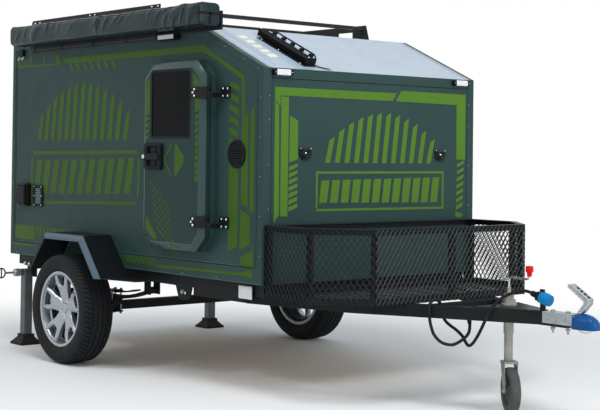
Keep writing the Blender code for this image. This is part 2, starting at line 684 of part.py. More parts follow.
def window_outline(lap):
    """Outline of the window opening, drawn outwards by lap."""
    return round_rectangle(WINDOW_WIDTH + 2 * lap, WINDOW_HEIGHT + 2 * lap, WINDOW_RADIUS + lap, 3,
                           (FRONT_X - WINDOW_MIDDLE_BACK, WINDOW_MIDDLE_HEIGHT))


def door(label, side):
    """Door leaf with its window opening and two hinge straps; origin on the hinge pin."""
    pin_x = FRONT_X - DOOR_FRONT + HINGE_PIN_FORWARD
    leaf = bevelled_slab("door_" + label, door_outline(), DOOR_OUTER - DOOR_THICKNESS, DOOR_OUTER, side,
                         DOOR_BEVEL, DOOR_BEVEL_DROP, GREEN)
    window = flat_piece("window opening", [window_outline(0.0)], 3 * DOOR_THICKNESS, (0, side * DOOR_OUTER, 0),
                        SIDE_PLANE)
    cut(leaf, window)
    straps = []
    bores = []
    for height in HINGE_HEIGHTS:
        pin = (pin_x, side * DOOR_OUTER, height)
        straps.append(box("strap", (0.130, 0.014, HINGE_LENGTH),
                          (pin_x - 0.065 - 0.002, side * (DOOR_OUTER + 0.002), height)))
        straps.append(cylinder("knuckle", 0.014, HINGE_LENGTH / 2 - 0.002,
                               (pin_x, side * DOOR_OUTER, height + HINGE_LENGTH / 4), "Z"))
        straps.append(box("web", (0.034, 0.012, HINGE_LENGTH / 2 - 0.002),
                          (pin_x - 0.017, side * DOOR_OUTER, height + HINGE_LENGTH / 4)))
        bores.append(cylinder("bore", HINGE_PIN_RADIUS + PIN_GAP, HINGE_LENGTH, pin, "Z", segments=16))
        bores.append(box("knuckle room", (0.040, 0.060, HINGE_LENGTH / 2 + 0.003),
                         (pin_x, side * DOOR_OUTER, height - HINGE_LENGTH / 4 - 0.0015)))
    join(leaf, *straps)
    cut(leaf, *bores)
    rebate = flat_piece("rebate", [window_outline(PANE_LAP)], 0.012, (0, side * (DOOR_OUTER - 0.006 + 0.0035), 0),
                        SIDE_PLANE)
    cut(leaf, rebate)
    return set_origin(leaf, (pin_x, side * DOOR_OUTER, DOOR_BOTTOM))


def set_origin(item, point):
    """Move an object's origin to a point without moving its shape."""
    bpy.context.view_layer.update()
    item.data.transform(item.matrix_world)
    item.data.transform(Matrix.Translation(-Vector(point)))
    item.matrix_world = Matrix.Translation(point)
    return item


def door_window(label, side):
    y = side * (DOOR_OUTER - 0.0085 + SEAT_GAP + PANE_THICKNESS / 2)
    return flat_piece("door_window_" + label, [window_outline(PANE_LAP - SEAT_GAP)], PANE_THICKNESS, (0, y, 0),
                      SIDE_PLANE, GLASS)


def door_latch(label, side):
    x = FRONT_X - LATCH_MIDDLE_BACK
    width, depth, height = LATCH_SIZE
    y = side * (DOOR_OUTER + SEAT_GAP + depth / 2)
    plate = box("door_latch_" + label, (width, depth, height), (x, y, LATCH_MIDDLE_HEIGHT), PLASTIC)
    soften(plate, 0.006, 2)
    well = box("well", (width * 0.62, 0.010, height * 0.55),
               (x + 0.012, y + side * depth / 2, LATCH_MIDDLE_HEIGHT + 0.018))
    barrel = cylinder("key barrel", 0.013, 0.030, (x - width / 2 + 0.020, y + side * 0.012, LATCH_MIDDLE_HEIGHT), "Y")
    cut(plate, well)
    return join(plate, barrel)


def hinge_bracket(label, side, height):
    """Fixed half of a door hinge: a foot on the body, a lower knuckle and the pin."""
    pin_x = FRONT_X - DOOR_FRONT + HINGE_PIN_FORWARD
    foot_y = HALF + SEAT_GAP
    reach = DOOR_OUTER - foot_y
    foot = box("door_hinge_" + label, (0.075, 0.008, HINGE_LENGTH), (pin_x + 0.052, side * (foot_y + 0.004), height), BLACK)
    arm = box("arm", (0.016, reach, HINGE_LENGTH / 2 - 0.003),
              (pin_x + 0.024, side * (foot_y + reach / 2), height - HINGE_LENGTH / 4))
    bridge = box("bridge", (0.030, 0.014, HINGE_LENGTH / 2 - 0.003),
                 (pin_x + 0.012, side * (DOOR_OUTER - 0.004), height - HINGE_LENGTH / 4))
    knuckle = cylinder("knuckle", 0.014, HINGE_LENGTH / 2 - 0.003, (pin_x, side * DOOR_OUTER, height - HINGE_LENGTH / 4))
    pin = cylinder("pin", HINGE_PIN_RADIUS, HINGE_LENGTH - 0.004, (pin_x, side * DOOR_OUTER, height), segments=16)
    return join(foot, arm, bridge, knuckle, pin)


def rear_hatch():
    """Full-width tail hatch, hung by a knuckle on the pins of the side walls."""
    half = HALF - HATCH_MARGIN
    pin_x, pin_height = HATCH_PIN
    bottom = BODY_BOTTOM + REAR_SILL_HEIGHT + RUN_GAP
    back = REAR_X - SEAT_GAP - 0.004
    hatch = box("rear_hatch", (HATCH_THICKNESS, 2 * half, pin_height - bottom),
                (back + HATCH_THICKNESS / 2, 0, (pin_height + bottom) / 2), GREEN)
    handle_height = bottom + 0.12
    plate = box("handle plate", (0.014, 0.140, 0.090), (back - 0.005, 0, handle_height))
    bar = box("handle bar", (0.012, 0.100, 0.020), (back - 0.016, 0, handle_height))
    knuckle = cylinder("hatch knuckle", HATCH_KNUCKLE, 2 * half - 0.001, (pin_x, 0, pin_height), "Y", segments=16)
    join(hatch, plate, bar, knuckle)
    bores = []
    for side in (-1, 1):
        bores.append(cylinder("pin bore", HATCH_PIN_RADIUS + PIN_GAP, 2 * HATCH_PIN_REACH + 0.010,
                              (pin_x, side * half, pin_height), "Y", segments=12))
    cut(hatch, *bores)
    return set_origin(hatch, (pin_x, 0, pin_height))


def rear_frame():
    """Welded surround that the hatch closes into, with the sill that carries the tail lamps."""
    half = HALF - WALL - SEAT_GAP
    top = ROOF_TOP - WALL - SEAT_GAP
    outline = [(-half, BODY_BOTTOM), (half, BODY_BOTTOM), (half, top), (-half, top)]
    hole_half = HALF - HATCH_MARGIN - 0.030
    hole_low = BODY_BOTTOM + REAR_SILL_HEIGHT + 0.040
    hole_high = top - 0.030
    hole = [(-hole_half, hole_low), (hole_half, hole_low), (hole_half, hole_high), (-hole_half, hole_high)]
    middle = (REAR_FRAME_BACK + REAR_FRAME_FRONT) / 2
    frame = flat_piece("rear_frame", [outline, hole], REAR_FRAME_THICKNESS, (middle, 0, 0), FRONT_PLANE, GREEN)
    sill = box("sill", (middle - REAR_X, 2 * half, REAR_SILL_HEIGHT),
               ((middle + REAR_X) / 2, 0, BODY_BOTTOM + REAR_SILL_HEIGHT / 2))
    return join(frame, sill)


def fender_outline(inset):
    """Trapezium over the wheel, its sides drawn inwards by inset and run on below the fender's foot."""
    rise = FENDER_TOP - FENDER_FOOT
    run = FENDER_BASE_HALF - FENDER_TOP_HALF
    slant = math.hypot(rise, run)
    below = 0.060
    top_half = FENDER_TOP_HALF - inset * (slant - run) / rise
    base_half = FENDER_BASE_HALF - inset * slant / rise + below * run / rise
    return [(WHEEL_X - base_half, FENDER_FOOT - below), (WHEEL_X - top_half, FENDER_TOP - inset),
            (WHEEL_X + top_half, FENDER_TOP - inset), (WHEEL_X + base_half, FENDER_FOOT - below)]


def fender(label, side):
    """Five-sided sheet fender with a chamfered edge, a turned-down lip and a flat step plate in front."""
    inner_y = HALF + MOULDING_PROUD + SEAT_GAP
    shell = bevelled_slab("fender_" + label, fender_outline(0.0), inner_y, FENDER_OUTER, side,
                          FENDER_CHAMFER, FENDER_CHAMFER, BLACK)
    depth = FENDER_OUTER - FENDER_CHAMFER - inner_y
    room = flat_piece("wheel room", [fender_outline(FENDER_SHEET)], depth + 0.040,
                      (0, side * (inner_y + depth / 2 - 0.020), 0), SIDE_PLANE)
    mouth = flat_piece("wheel mouth", [fender_outline(FENDER_LIP)], 0.100, (0, side * FENDER_OUTER, 0), SIDE_PLANE)
    foot = box("foot cut", (4 * FENDER_BASE_HALF, 0.500, 0.200), (WHEEL_X, side * FENDER_OUTER, FENDER_FOOT - 0.100))
    cut(shell, room, mouth, foot)
    start = WHEEL_X + FENDER_BASE_HALF - 0.012
    end = start + STEP_REACH
    step = [(start, side * inner_y), (end, side * inner_y), (end, side * (inner_y + 0.12)),
            (start, side * (FENDER_OUTER - FENDER_CHAMFER))]
    plate = flat_piece("step plate", [step], 0.004, (0, 0, FENDER_FOOT + 0.002))
    return join(shell, plate)


def basket_path():
    return [(FRONT_X + 0.004, -BASKET_HALF), (FRONT_X + BASKET_CORNER, -BASKET_HALF),
            (FRONT_X + BASKET_FRONT, -BASKET_FRONT_HALF), (FRONT_X + BASKET_FRONT, BASKET_FRONT_HALF),
            (FRONT_X + BASKET_CORNER, BASKET_HALF), (FRONT_X + 0.004, BASKET_HALF)]


def ring_band(points, depth):
    """Closed outline of the given path and the same path drawn inwards by depth."""
    count = len(points)
    inner = []
    for index in range(count):
        here = Vector(points[index])
        before = Vector(points[index - 1])
        after = Vector(points[(index + 1) % count])
        first = (here - before).normalized()
        second = (after - here).normalized()
        normals = [Vector((-first.y, first.x)), Vector((-second.y, second.x))]
        bisector = (normals[0] + normals[1]).normalized()
        inner.append(here + bisector * depth / bisector.dot(normals[0]))
    return [tuple(point) for point in inner]


def basket_frame():
    """Angle-iron frame that stands in the mesh tray, with a top flange over the mesh's edge."""
    top = DRAWBAR_TOP + SEAT_GAP + BASKET_HEIGHT
    bottom = DRAWBAR_TOP + SEAT_GAP + MESH_THICKNESS + SEAT_GAP
    path = ring_band(basket_path(), MESH_THICKNESS + SEAT_GAP)
    pieces = []
    for low, high in ((bottom, bottom + ANGLE_SIZE), (top - ANGLE_SIZE, top - 0.001)):
        pieces.append(flat_piece("band", [path, ring_band(path, 0.004)], high - low, (0, 0, (low + high) / 2)))
    pieces.append(flat_piece("bottom flange", [path, ring_band(path, ANGLE_SIZE)], 0.004, (0, 0, bottom + 0.002)))
    rim_path = basket_path()
    pieces.append(flat_piece("top flange", [rim_path, ring_band(rim_path, ANGLE_SIZE + MESH_THICKNESS)], 0.004,
                             (0, 0, top - 0.002)))
    inner = ring_band(path, 0.018)
    height = top - bottom - 0.002
    middle = (top + bottom) / 2
    for index in (1, 2, 3, 4):
        before = Vector(inner[index]) - Vector(inner[index - 1])
        after = Vector(inner[index + 1]) - Vector(inner[index])
        along = before.normalized() + after.normalized()
        pieces.append(box("corner post", (POST_SIZE, POST_SIZE, height), (*inner[index], middle),
                          rotation=(0, 0, math.atan2(along.y, along.x))))
    pieces.append(box("middle post", (0.022, POST_SIZE + 0.010, height), (path[2][0] - 0.0125, 0, middle)))
    for side in (-1, 1):
        pieces.append(box("back post", (POST_SIZE, 0.022, height),
                          (path[0][0] + POST_SIZE / 2 + 0.001, side * (path[4][1] - 0.0125), middle)))
    frame = pieces.pop(0)
    frame.name = "basket_frame"
    frame.data.materials.append(BLACK)
    return join(frame, *pieces)


def grid_outlines(length, height, across, up):
    """Rectangles of a plain grid of openings, centred on nought and on the given height."""
    columns = max(1, round(length / MESH_PITCH))
    rows = max(1, round(height / MESH_PITCH))
    wide = length / columns
    high = height / rows
    outlines = []
    for column in range(columns):
        for row in range(rows):
            left = across - length / 2 + column * wide + MESH_STRAND / 2
            low = up - height / 2 + row * high + MESH_STRAND / 2
            right = left + wide - MESH_STRAND
            top = low + high - MESH_STRAND
            outlines.append([(left, low), (right, low), (right, top), (left, top)])
    return outlines


def basket_mesh():
    """Open tray outside the frame; a plain grid of openings stands for its expanded metal."""
    bottom = DRAWBAR_TOP + SEAT_GAP
    top = bottom + BASKET_HEIGHT - 0.004 - SEAT_GAP
    outer = basket_path()
    inner = ring_band(outer, MESH_THICKNESS)
    back_x = outer[0][0]
    walls = outer + [(back_x, inner[5][1])] + inner[4:0:-1] + [(back_x, inner[0][1])]
    tray = flat_piece("basket_mesh", [walls], top - bottom, (0, 0, (top + bottom) / 2), finish=BLACK)
    join(tray, flat_piece("mesh floor", [outer], MESH_THICKNESS, (0, 0, bottom + MESH_THICKNESS / 2 + 0.00005)))
    openings = []
    for a, b in zip(outer, outer[1:]):
        along = Vector(b) - Vector(a)
        middle = (Vector(a) + Vector(b)) / 2
        grid = grid_outlines(along.length - 2 * MESH_MARGIN, top - bottom - 2 * MESH_MARGIN, 0, (top + bottom) / 2)
        openings.append(flat_piece("openings", grid, 0.040, (middle.x, middle.y, 0),
                                   (math.pi / 2, 0, math.atan2(along.y, along.x))))
    depth = BASKET_FRONT - 2 * MESH_MARGIN
    grid = grid_outlines(depth, 2 * BASKET_FRONT_HALF - MESH_MARGIN, FRONT_X + BASKET_FRONT / 2, 0)
    openings.append(flat_piece("floor openings", grid, 0.040, (0, 0, bottom)))
    return cut(tray, *openings)


def awning_bag():
    outline = []
    steps = 28
    for step in range(steps):
        angle = 2 * math.pi * step / steps
        across = math.copysign(abs(math.cos(angle)) ** 0.62, math.cos(angle)) * BAG_DEPTH / 2
        up = math.copysign(abs(math.sin(angle)) ** 0.72, math.sin(angle)) * BAG_HEIGHT / 2
        outline.append((across, up))
    centre = (FRONT_X - BAG_FRONT - BAG_LENGTH / 2, -(HALF + BAG_BACK_GAP + BAG_DEPTH / 2), BAG_MIDDLE_HEIGHT)
    return flat_piece("awning_bag", [outline], BAG_LENGTH, centre, FRONT_PLANE, FABRIC)


def awning_rail():
    """Aluminium backing rail with a light strip below and a square lamp before it."""
    front = FRONT_X - BAG_FRONT
    inner = HALF + MOULDING_PROUD + SEAT_GAP
    outer = HALF + BAG_BACK_GAP - SEAT_GAP
    back = box("awning_rail", (BAG_LENGTH, outer - inner, AWNING_BACK),
               (front - BAG_LENGTH / 2, -(inner + outer) / 2, BAG_MIDDLE_HEIGHT - AWNING_DROP), ALUMINIUM)
    proud, high = STRIP_SIZE
    length = BAG_LENGTH - STRIP_START - 0.019
    strip = box("light strip", (length, proud, high),
                (front - STRIP_START - length / 2, -(inner + proud / 2), BAG_MIDDLE_HEIGHT - STRIP_DROP))
    lamp = box("lamp housing", LAMP_SIZE,
               (front - LAMP_SHIFT, -(inner + LAMP_SIZE[1] / 2), BAG_MIDDLE_HEIGHT - LAMP_DROP))
    return join(back, strip, lamp)


def roof_rack():
    """Two side plates with an opening behind their front feet, a crest on the kerb side, and crossbars."""
    foot = ROOF_TOP + SEAT_GAP
    x = FRONT_X - RACK_FRONT - RACK_LENGTH
    front = RACK_LENGTH
    outline = [(0, foot), (front, foot), (front - 0.036, RACK_TOP), (0.018, RACK_TOP), (0, RACK_TOP - 0.018)]
    gap = [(front - 0.283, foot + 0.020), (front - 0.154, foot + 0.020), (front - 0.154, RACK_TOP - 0.036),
           (front - 0.283, RACK_TOP - 0.036)]
    crest_front = front - RACK_CREST_START
    crest = [(0.006, RACK_TOP - 0.030), (crest_front, RACK_TOP - 0.030), (crest_front, RACK_TOP + RACK_CREST),
             (0.018, RACK_TOP + RACK_CREST), (0.006, RACK_TOP + RACK_CREST - 0.014)]
    pieces = []
    for side in (-1, 1):
        pieces.append(flat_piece("side plate", [outline, gap], RACK_PLATE, (x, side * RACK_HALF, 0), SIDE_PLANE))
    pieces.append(flat_piece("crest", [crest], RACK_PLATE + 0.003, (x, -RACK_HALF - 0.0005, 0), SIDE_PLANE))
    width, height = RACK_BAR
    for back in RACK_BAR_BACKS:
        pieces.append(box("crossbar", (width, 2 * RACK_HALF, height),
                          (FRONT_X - back, 0, RACK_TOP - RACK_BAR_DROP - height / 2)))
    rack = pieces.pop(0)
    rack.name = "roof_rack"
    rack.data.materials.append(BLACK)
    return join(rack, *pieces)


def light_bar():
    length, width, height = LIGHT_BAR
    drop = math.atan2(ROOF_TOP - FRONT_TOP, SLOPE_RUN)
    normal = Vector((math.sin(drop), 0, math.cos(drop)))
    top = FRONT_TOP + (ROOF_TOP - FRONT_TOP) * LIGHT_BAR_BACK / SLOPE_RUN
    centre = Vector((FRONT_X - LIGHT_BAR_BACK, LIGHT_BAR_SIDE, top))
    centre += normal * (height / 2 + LIGHT_BAR_GAP + SEAT_GAP)
    bar = box("light_bar", (length, width, height), centre, PLASTIC, (0, drop, 0), 0.006)
    feet = []
    along = Vector((math.cos(drop), 0, -math.sin(drop)))
    for end in (-1, 1):
        where = centre + along * end * length * 0.36 - normal * (height / 2)
        feet.append(box("foot", (0.030, width * 0.6, 2 * LIGHT_BAR_GAP), where, None, (0, drop, 0)))
    return join(bar, *feet)


def marker_lamp(label, side):
    return box("marker_lamp_" + label, (0.020, 0.125, 0.030),
               (FRONT_X + 0.010 + SEAT_GAP, side * 0.640, 1.6075), LENS, bevel=0.004)


def lashing_eye(label, side):
    """Round-topped plate with a heavy bolt head, on the front wall."""
    outline = [(-0.040, -0.030), (0.040, -0.030)]
    for step in range(9):
        angle = math.pi * step / 8
        outline.append((0.040 * math.cos(angle), 0.002 + 0.032 * math.sin(angle)))
    plate = flat_piece("lashing_eye_" + label, [outline], 0.012, (FRONT_X + 0.006 + SEAT_GAP, side * 0.484, 1.203),
                       FRONT_PLANE, BLACK)
    bolt = cylinder("bolt", 0.012, 0.016, (FRONT_X + 0.016, side * 0.484, 1.200), "X", segments=12)
    return join(plate, bolt)


def side_lamp(label, side):
    y = side * (RAIL_OFFSET + RAIL_WIDTH / 2 + SEAT_GAP + 0.009)
    return box("side_lamp_" + label, (0.106, 0.018, 0.066), (FRONT_X - 0.178, y, RAIL_BOTTOM + 0.0148), LENS, bevel=0.004)


def tail_lamp(label, side):
    depth = TAIL_REACH - SEAT_GAP
    y = side * (HALF - 0.095)
    return box("tail_lamp_" + label, (depth, 0.120, 0.080), (REAR_X - SEAT_GAP - depth / 2, y, BODY_BOTTOM + 0.046),
               RED, bevel=0.006)


def side_vent():
    x = FRONT_X - 0.212
    y = -(HALF + SEAT_GAP)
    outer = cylinder("side_vent", 0.072, 0.010, (x, y - 0.005, 1.200), "Y", PLASTIC, 40)
    well = cylinder("well", 0.056, 0.020, (x, y - 0.013, 1.200), "Y", segments=40)
    cut(outer, well)
    slats = [box("slat", (0.116, 0.006, 0.006), (x, y - 0.0045, 1.200 + offset)) for offset in (-0.036, -0.018, 0, 0.018, 0.036)]
    return join(outer, *slats)


def power_inlet():
    y = -(HALF + SEAT_GAP + 0.024)
    return box("power_inlet", (0.130, 0.048, 0.140), (FRONT_X - 2.365, y, 0.935), PLASTIC, bevel=0.008)


def side_grille():
    x = FRONT_X - 2.205
    y = -(HALF + SEAT_GAP)
    plate = box("side_grille", (0.110, 0.010, 0.132), (x, y - 0.005, 0.931), PLASTIC, bevel=0.002)
    well = box("well", (0.062, 0.016, 0.100), (x, y - 0.014, 0.931))
    cut(plate, well)
    slats = [box("slat", (0.064, 0.004, 0.006), (x, y - 0.0055, 0.931 + 0.0165 * step)) for step in range(-2, 3)]
    return join(plate, *slats)


def tyre(label, side):
    """Tyre of revolution with its tread crown, shoulders, sidewalls and bead seats."""
    half = TYRE_WIDTH / 2
    seat = RIM_SEAT_RADIUS + SEAT_GAP
    bead = half * RIM_LIP_PLACE - SEAT_GAP
    right = [(seat + 0.016, half * 0.55), (seat, bead), (RIM_RADIUS + SEAT_GAP, bead), (RIM_RADIUS + 0.004, half * 0.93),
             (0.250, half), (0.275, half * 0.985), (0.298, half * 0.90), (0.306, half * 0.80), (TYRE_RADIUS, half * 0.50)]
    profile = right + [(radius, -across) for radius, across in reversed(right)]
    return turned("tyre_" + label, profile, (WHEEL_X, side * TRACK_HALF, TYRE_RADIUS), "Y", RUBBER, WHEEL_STEPS)


def rim(label, side):
    """Alloy rim: a turned barrel, a hub and five forked spokes."""
    half = TYRE_WIDTH / 2
    outward = side
    seat = RIM_SEAT_RADIUS
    lip = half * RIM_LIP_PLACE
    profile = [(seat, -lip), (RIM_RADIUS, -lip), (RIM_RADIUS, -lip - 0.008), (seat - 0.008, -lip - 0.008),
               (seat - 0.010, 0), (seat - 0.008, lip + 0.008), (RIM_RADIUS, lip + 0.008), (RIM_RADIUS, lip),
               (seat, lip), (seat - 0.0005, half * 0.50), (seat - 0.0005, -half * 0.50)]
    barrel = turned("rim_" + label, profile, (WHEEL_X, side * TRACK_HALF, TYRE_RADIUS), "Y", ALLOY, WHEEL_STEPS)
    face = side * HUB_FACE
    hub = cylinder("hub", 0.060, 0.052, (WHEEL_X, face - outward * 0.018, TYRE_RADIUS), "Y", segments=30)
    spokes = []
    for number in range(5):
        for fork in (-1, 1):
            base = math.radians(90 + 72 * number)
            outer_angle = base + fork * math.radians(12.5)
            start = Vector((0.030 * math.cos(base), 0.030 * math.sin(base)))
            end = Vector(((seat - 0.004) * math.cos(outer_angle), (seat - 0.004) * math.sin(outer_angle)))
            middle = (start + end) / 2
            length = (end - start).length
            turn = -math.atan2(end.y - start.y, end.x - start.x)
            spokes.append(box("spoke", (length, 0.026, 0.030),
                              (WHEEL_X + middle.x, face, TYRE_RADIUS + middle.y), None, (0, turn, 0)))
    wheel = join(barrel, hub, *spokes)
    bore = cylinder("bore", STUB_RADIUS + 0.001, TYRE_WIDTH,
                    (WHEEL_X, face - outward * (TYRE_WIDTH / 2 + HUB_COVER), TYRE_RADIUS), "Y")
    cut(wheel, bore)
    return set_origin(wheel, (WHEEL_X, side * TRACK_HALF, TYRE_RADIUS))


def coupler():
    x = FRONT_X
    inner = 0.030 + SEAT_GAP
    outer = inner + COUPLER_WALL
    low = DRAWBAR_MIDDLE - DRAWBAR_HEIGHT / 2 + 0.012
    high = DRAWBAR_TOP + SEAT_GAP + COUPLER_WALL
    back, front = COUPLER_BACK, COUPLER_FRONT
    body = box("coupler_body", (front - back, 2 * outer, high - low), (x + (front + back) / 2, 0, (high + low) / 2), GALVANISED)
    room = box("room", (DRAWBAR_NOSE + SEAT_GAP - back + 0.02, 2 * inner, DRAWBAR_TOP + SEAT_GAP - low + 0.02),
               (x + (DRAWBAR_NOSE + SEAT_GAP + back - 0.02) / 2, 0, (DRAWBAR_TOP + SEAT_GAP + low - 0.02) / 2))
    cut(body, room)
    bolts = []
    for along in (1.196, 1.282):
        bolts.append(cylinder("bolt head", 0.010, 0.010, (x + along, 0, high + 0.004), segments=6))
    neck = box("neck", (NECK_END - front + 0.004, NECK_SIZE, NECK_SIZE),
               (x + (NECK_END + front - 0.004) / 2, 0, DRAWBAR_MIDDLE + 0.004))
    return join(body, neck, *bolts)


def coupler_cap():
    """Rounded nose cover over the ball socket."""
    low = DRAWBAR_MIDDLE - 0.030
    back = COUPLER_FRONT + SEAT_GAP
    outline = [(back, low), (back, low + 0.060), (1.338, low + LEVER_SEAT), (1.372, low + LEVER_SEAT), (1.405, low + 0.066),
               (1.430, low + 0.054), (1.446, low + 0.036), (NOSE_REACH, low + 0.020), (NOSE_REACH, low)]
    cap = flat_piece("coupler_cap", [outline], 0.084, (FRONT_X, 0, 0), SIDE_PLANE, BLUE)
    soften(cap, 0.016, 3, 25)
    settle(cap)
    room_back, room_front = COUPLER_FRONT - 0.020, NECK_END + SEAT_GAP
    room = box("room", (room_front - room_back, NECK_SIZE + 2 * SEAT_GAP, NECK_SIZE + 2 * SEAT_GAP),
               (FRONT_X + (room_front + room_back) / 2, 0, DRAWBAR_MIDDLE + 0.004))
    return cut(cap, room)


def coupler_lever():
    """Pressed handle that rises from the coupling and folds back at its elbow."""
    base = DRAWBAR_MIDDLE - 0.030 + LEVER_SEAT + SEAT_GAP
    outline = [(1.342, base), (1.366, base), (1.408, base + 0.045), (1.410, base + 0.066), (1.312, base + 0.126),
               (1.292, base + 0.126), (1.290, base + 0.112), (1.380, base + 0.052), (1.376, base + 0.040)]
    return flat_piece("coupler_lever", [outline], 0.030, (FRONT_X, 0, 0.0), SIDE_PLANE, GALVANISED)


def jockey_outer_tube():
    x = FRONT_X + JOCKEY_FORWARD
    bore = JOCKEY_OUTER_RADIUS - JOCKEY_TUBE_WALL
    low, high = JOCKEY_OUTER_BOTTOM, JOCKEY_OUTER_TOP
    profile = [(bore, low), (JOCKEY_OUTER_RADIUS, low), (JOCKEY_OUTER_RADIUS, high), (bore, high)]
    tube = turned("jockey_outer_tube", profile, (x, 0, 0), "Z", GALVANISED, 20)
    collar_low = DRAWBAR_TOP + GUSSET_THICKNESS + SEAT_GAP
    collar = [(bore + 0.001, collar_low), (0.038, collar_low), (0.038, collar_low + 0.012), (bore + 0.001, collar_low + 0.012)]
    flange = turned("clamp", collar, (x, 0, 0), "Z", None, 20)
    cap = cylinder("tube cap", JOCKEY_OUTER_RADIUS + 0.001, 0.012, (x, 0, high + 0.004), segments=20)
    stem = cylinder("crank stem", 0.009, 0.070, (x, 0, high + 0.042), segments=12)
    arm = rod("crank", [(x, 0, high + 0.070), (x + 0.012, -0.004, high + 0.090), (x + 0.125, -0.02, high + 0.090),
                        (x + 0.140, -0.022, high + 0.105)], 0.006)
    knob = cylinder("knob", 0.017, 0.050, (x + 0.143, -0.022, high + 0.128), segments=16)
    return join(tube, flange, cap, stem, arm, knob)


def jockey_inner_tube():
    x = FRONT_X + JOCKEY_FORWARD
    low = 2 * JOCKEY_WHEEL_RADIUS + 0.026
    high = JOCKEY_OUTER_BOTTOM + 0.030
    return cylinder("jockey_inner_tube", JOCKEY_INNER_RADIUS, high - low, (x, 0, (high + low) / 2), "Z", GALVANISED, 20)


def jockey_axes():
    """Axle's direction and the wheel's middle, with the fork turned towards the kerb."""
    rolling = Vector((math.cos(JOCKEY_TURN), -math.sin(JOCKEY_TURN), 0))
    axle = Vector((math.sin(JOCKEY_TURN), math.cos(JOCKEY_TURN), 0))
    middle = Vector((FRONT_X + JOCKEY_FORWARD, 0, JOCKEY_WHEEL_RADIUS)) + rolling * JOCKEY_TRAIL
    return rolling, axle, middle


def jockey_fork():
    rolling, axle, middle = jockey_axes()
    x = FRONT_X + JOCKEY_FORWARD
    top = 2 * JOCKEY_WHEEL_RADIUS + 0.026 - SEAT_GAP
    turn = -JOCKEY_TURN
    crown = box("jockey_fork", (0.070, JOCKEY_WHEEL_WIDTH + 0.024, 0.010),
                (x + rolling.x * 0.016, rolling.y * 0.016, top - 0.005), GALVANISED, (0, 0, turn))
    pieces = []
    offset = JOCKEY_WHEEL_WIDTH / 2 + 0.008
    outline = [(-0.018, top - 0.002), (0.050, top - 0.002), (JOCKEY_TRAIL + 0.016, JOCKEY_WHEEL_RADIUS - 0.012),
               (JOCKEY_TRAIL - 0.016, JOCKEY_WHEEL_RADIUS - 0.012)]
    for cheek in (-1, 1):
        where = axle * cheek * offset
        pieces.append(flat_piece("cheek", [outline], 0.004, (x + where.x, where.y, 0), (math.pi / 2, 0, turn)))
    pin = cylinder("axle", 0.006, JOCKEY_WHEEL_WIDTH + 0.040, middle, "Z", segments=16)
    pin.rotation_euler = (math.pi / 2, 0, turn)
    return join(crown, pin, *pieces)


def jockey_wheel():
    rolling, axle, middle = jockey_axes()
    half = JOCKEY_WHEEL_WIDTH / 2
    radius = JOCKEY_WHEEL_RADIUS
    bore = 0.0066
    profile = [(bore, -half * 0.9), (0.022, -half * 0.9), (0.026, -half * 0.45), (0.066, -half * 0.45), (0.070, -half * 0.9),
               (radius - 0.014, -half), (radius - 0.004, -half * 0.72), (radius, -half * 0.3), (radius, half * 0.3),
               (radius - 0.004, half * 0.72), (radius - 0.014, half), (0.070, half * 0.9), (0.066, half * 0.45),
               (0.026, half * 0.45), (0.022, half * 0.9), (bore, half * 0.9)]
    wheel = turned("jockey_wheel", profile, middle, "Z", RUBBER, 28)
    wheel.rotation_euler = (math.pi / 2, 0, -JOCKEY_TURN)
    return wheel


def rear_leg(label, side):
    """Swing-down corner leg: square tube hung on the chassis pin."""
    x = FRONT_X - LEG_BACK
    y = side * LEG_SIDE
    low = FOOT_HEIGHT - FOOT_SOCKET
    top = LEG_PIVOT_HEIGHT + LEG_HEAD
    tube = box("rear_leg_" + label, (2 * LEG_HALF, 2 * LEG_HALF, top - low), (x, y, (top + low) / 2), GALVANISED,
               bevel=0.004)
    spigot = cylinder("spigot", 0.020, 0.075, (x, side * (LEG_SIDE + 0.050), LEG_PIVOT_HEIGHT), "Y")
    join(tube, spigot)
    bore = cylinder("bore", 0.012 + PIN_GAP, 0.160, (x, side * (LEG_SIDE + 0.020), LEG_PIVOT_HEIGHT), "Y", segments=16)
    cut(tube, bore)
    return set_origin(tube, (x, y, LEG_PIVOT_HEIGHT))


def rear_foot(label, side):
    """Square rubber foot that flares from a sleeve round the tube to its sole."""
    x = FRONT_X - LEG_BACK
    y = side * LEG_SIDE
    sleeve = LEG_HALF + FOOT_SLEEVE
    flare_top = FOOT_HEIGHT - FOOT_SOLE
    foot = box("rear_foot_" + label, (2 * FOOT_HALF, 2 * FOOT_HALF, FOOT_SOLE), (x, y, FOOT_SOLE / 2), RUBBER)
    flare = cylinder("flare", FOOT_HALF * math.sqrt(2) - 0.003, flare_top - FOOT_SOLE + 0.004,
                     (x, y, (flare_top + FOOT_SOLE - 0.004) / 2), segments=4, tip=(sleeve - 0.001) * math.sqrt(2))
    flare.rotation_euler = (0, 0, math.pi / 4)
    collar = box("collar", (2 * sleeve, 2 * sleeve, FOOT_HEIGHT - flare_top + 0.004),
                 (x, y, (FOOT_HEIGHT + flare_top - 0.004) / 2))
    join(foot, flare, collar)
    room = LEG_HALF + SEAT_GAP
    socket_low = FOOT_HEIGHT - FOOT_SOCKET - SEAT_GAP
    socket = box("socket", (2 * room, 2 * room, 0.060), (x, y, socket_low + 0.030))
    return cut(foot, socket)


def floor_panel():
    inner = HALF - WALL - SEAT_GAP
    front = FRONT_X - WALL - SEAT_GAP
    back = REAR_FRAME_FRONT + SEAT_GAP
    return box("floor_panel", (front - back, 2 * inner, FLOOR_THICKNESS - SEAT_GAP),
               ((front + back) / 2, 0, BODY_BOTTOM + (FLOOR_THICKNESS - SEAT_GAP) / 2), PLYWOOD)


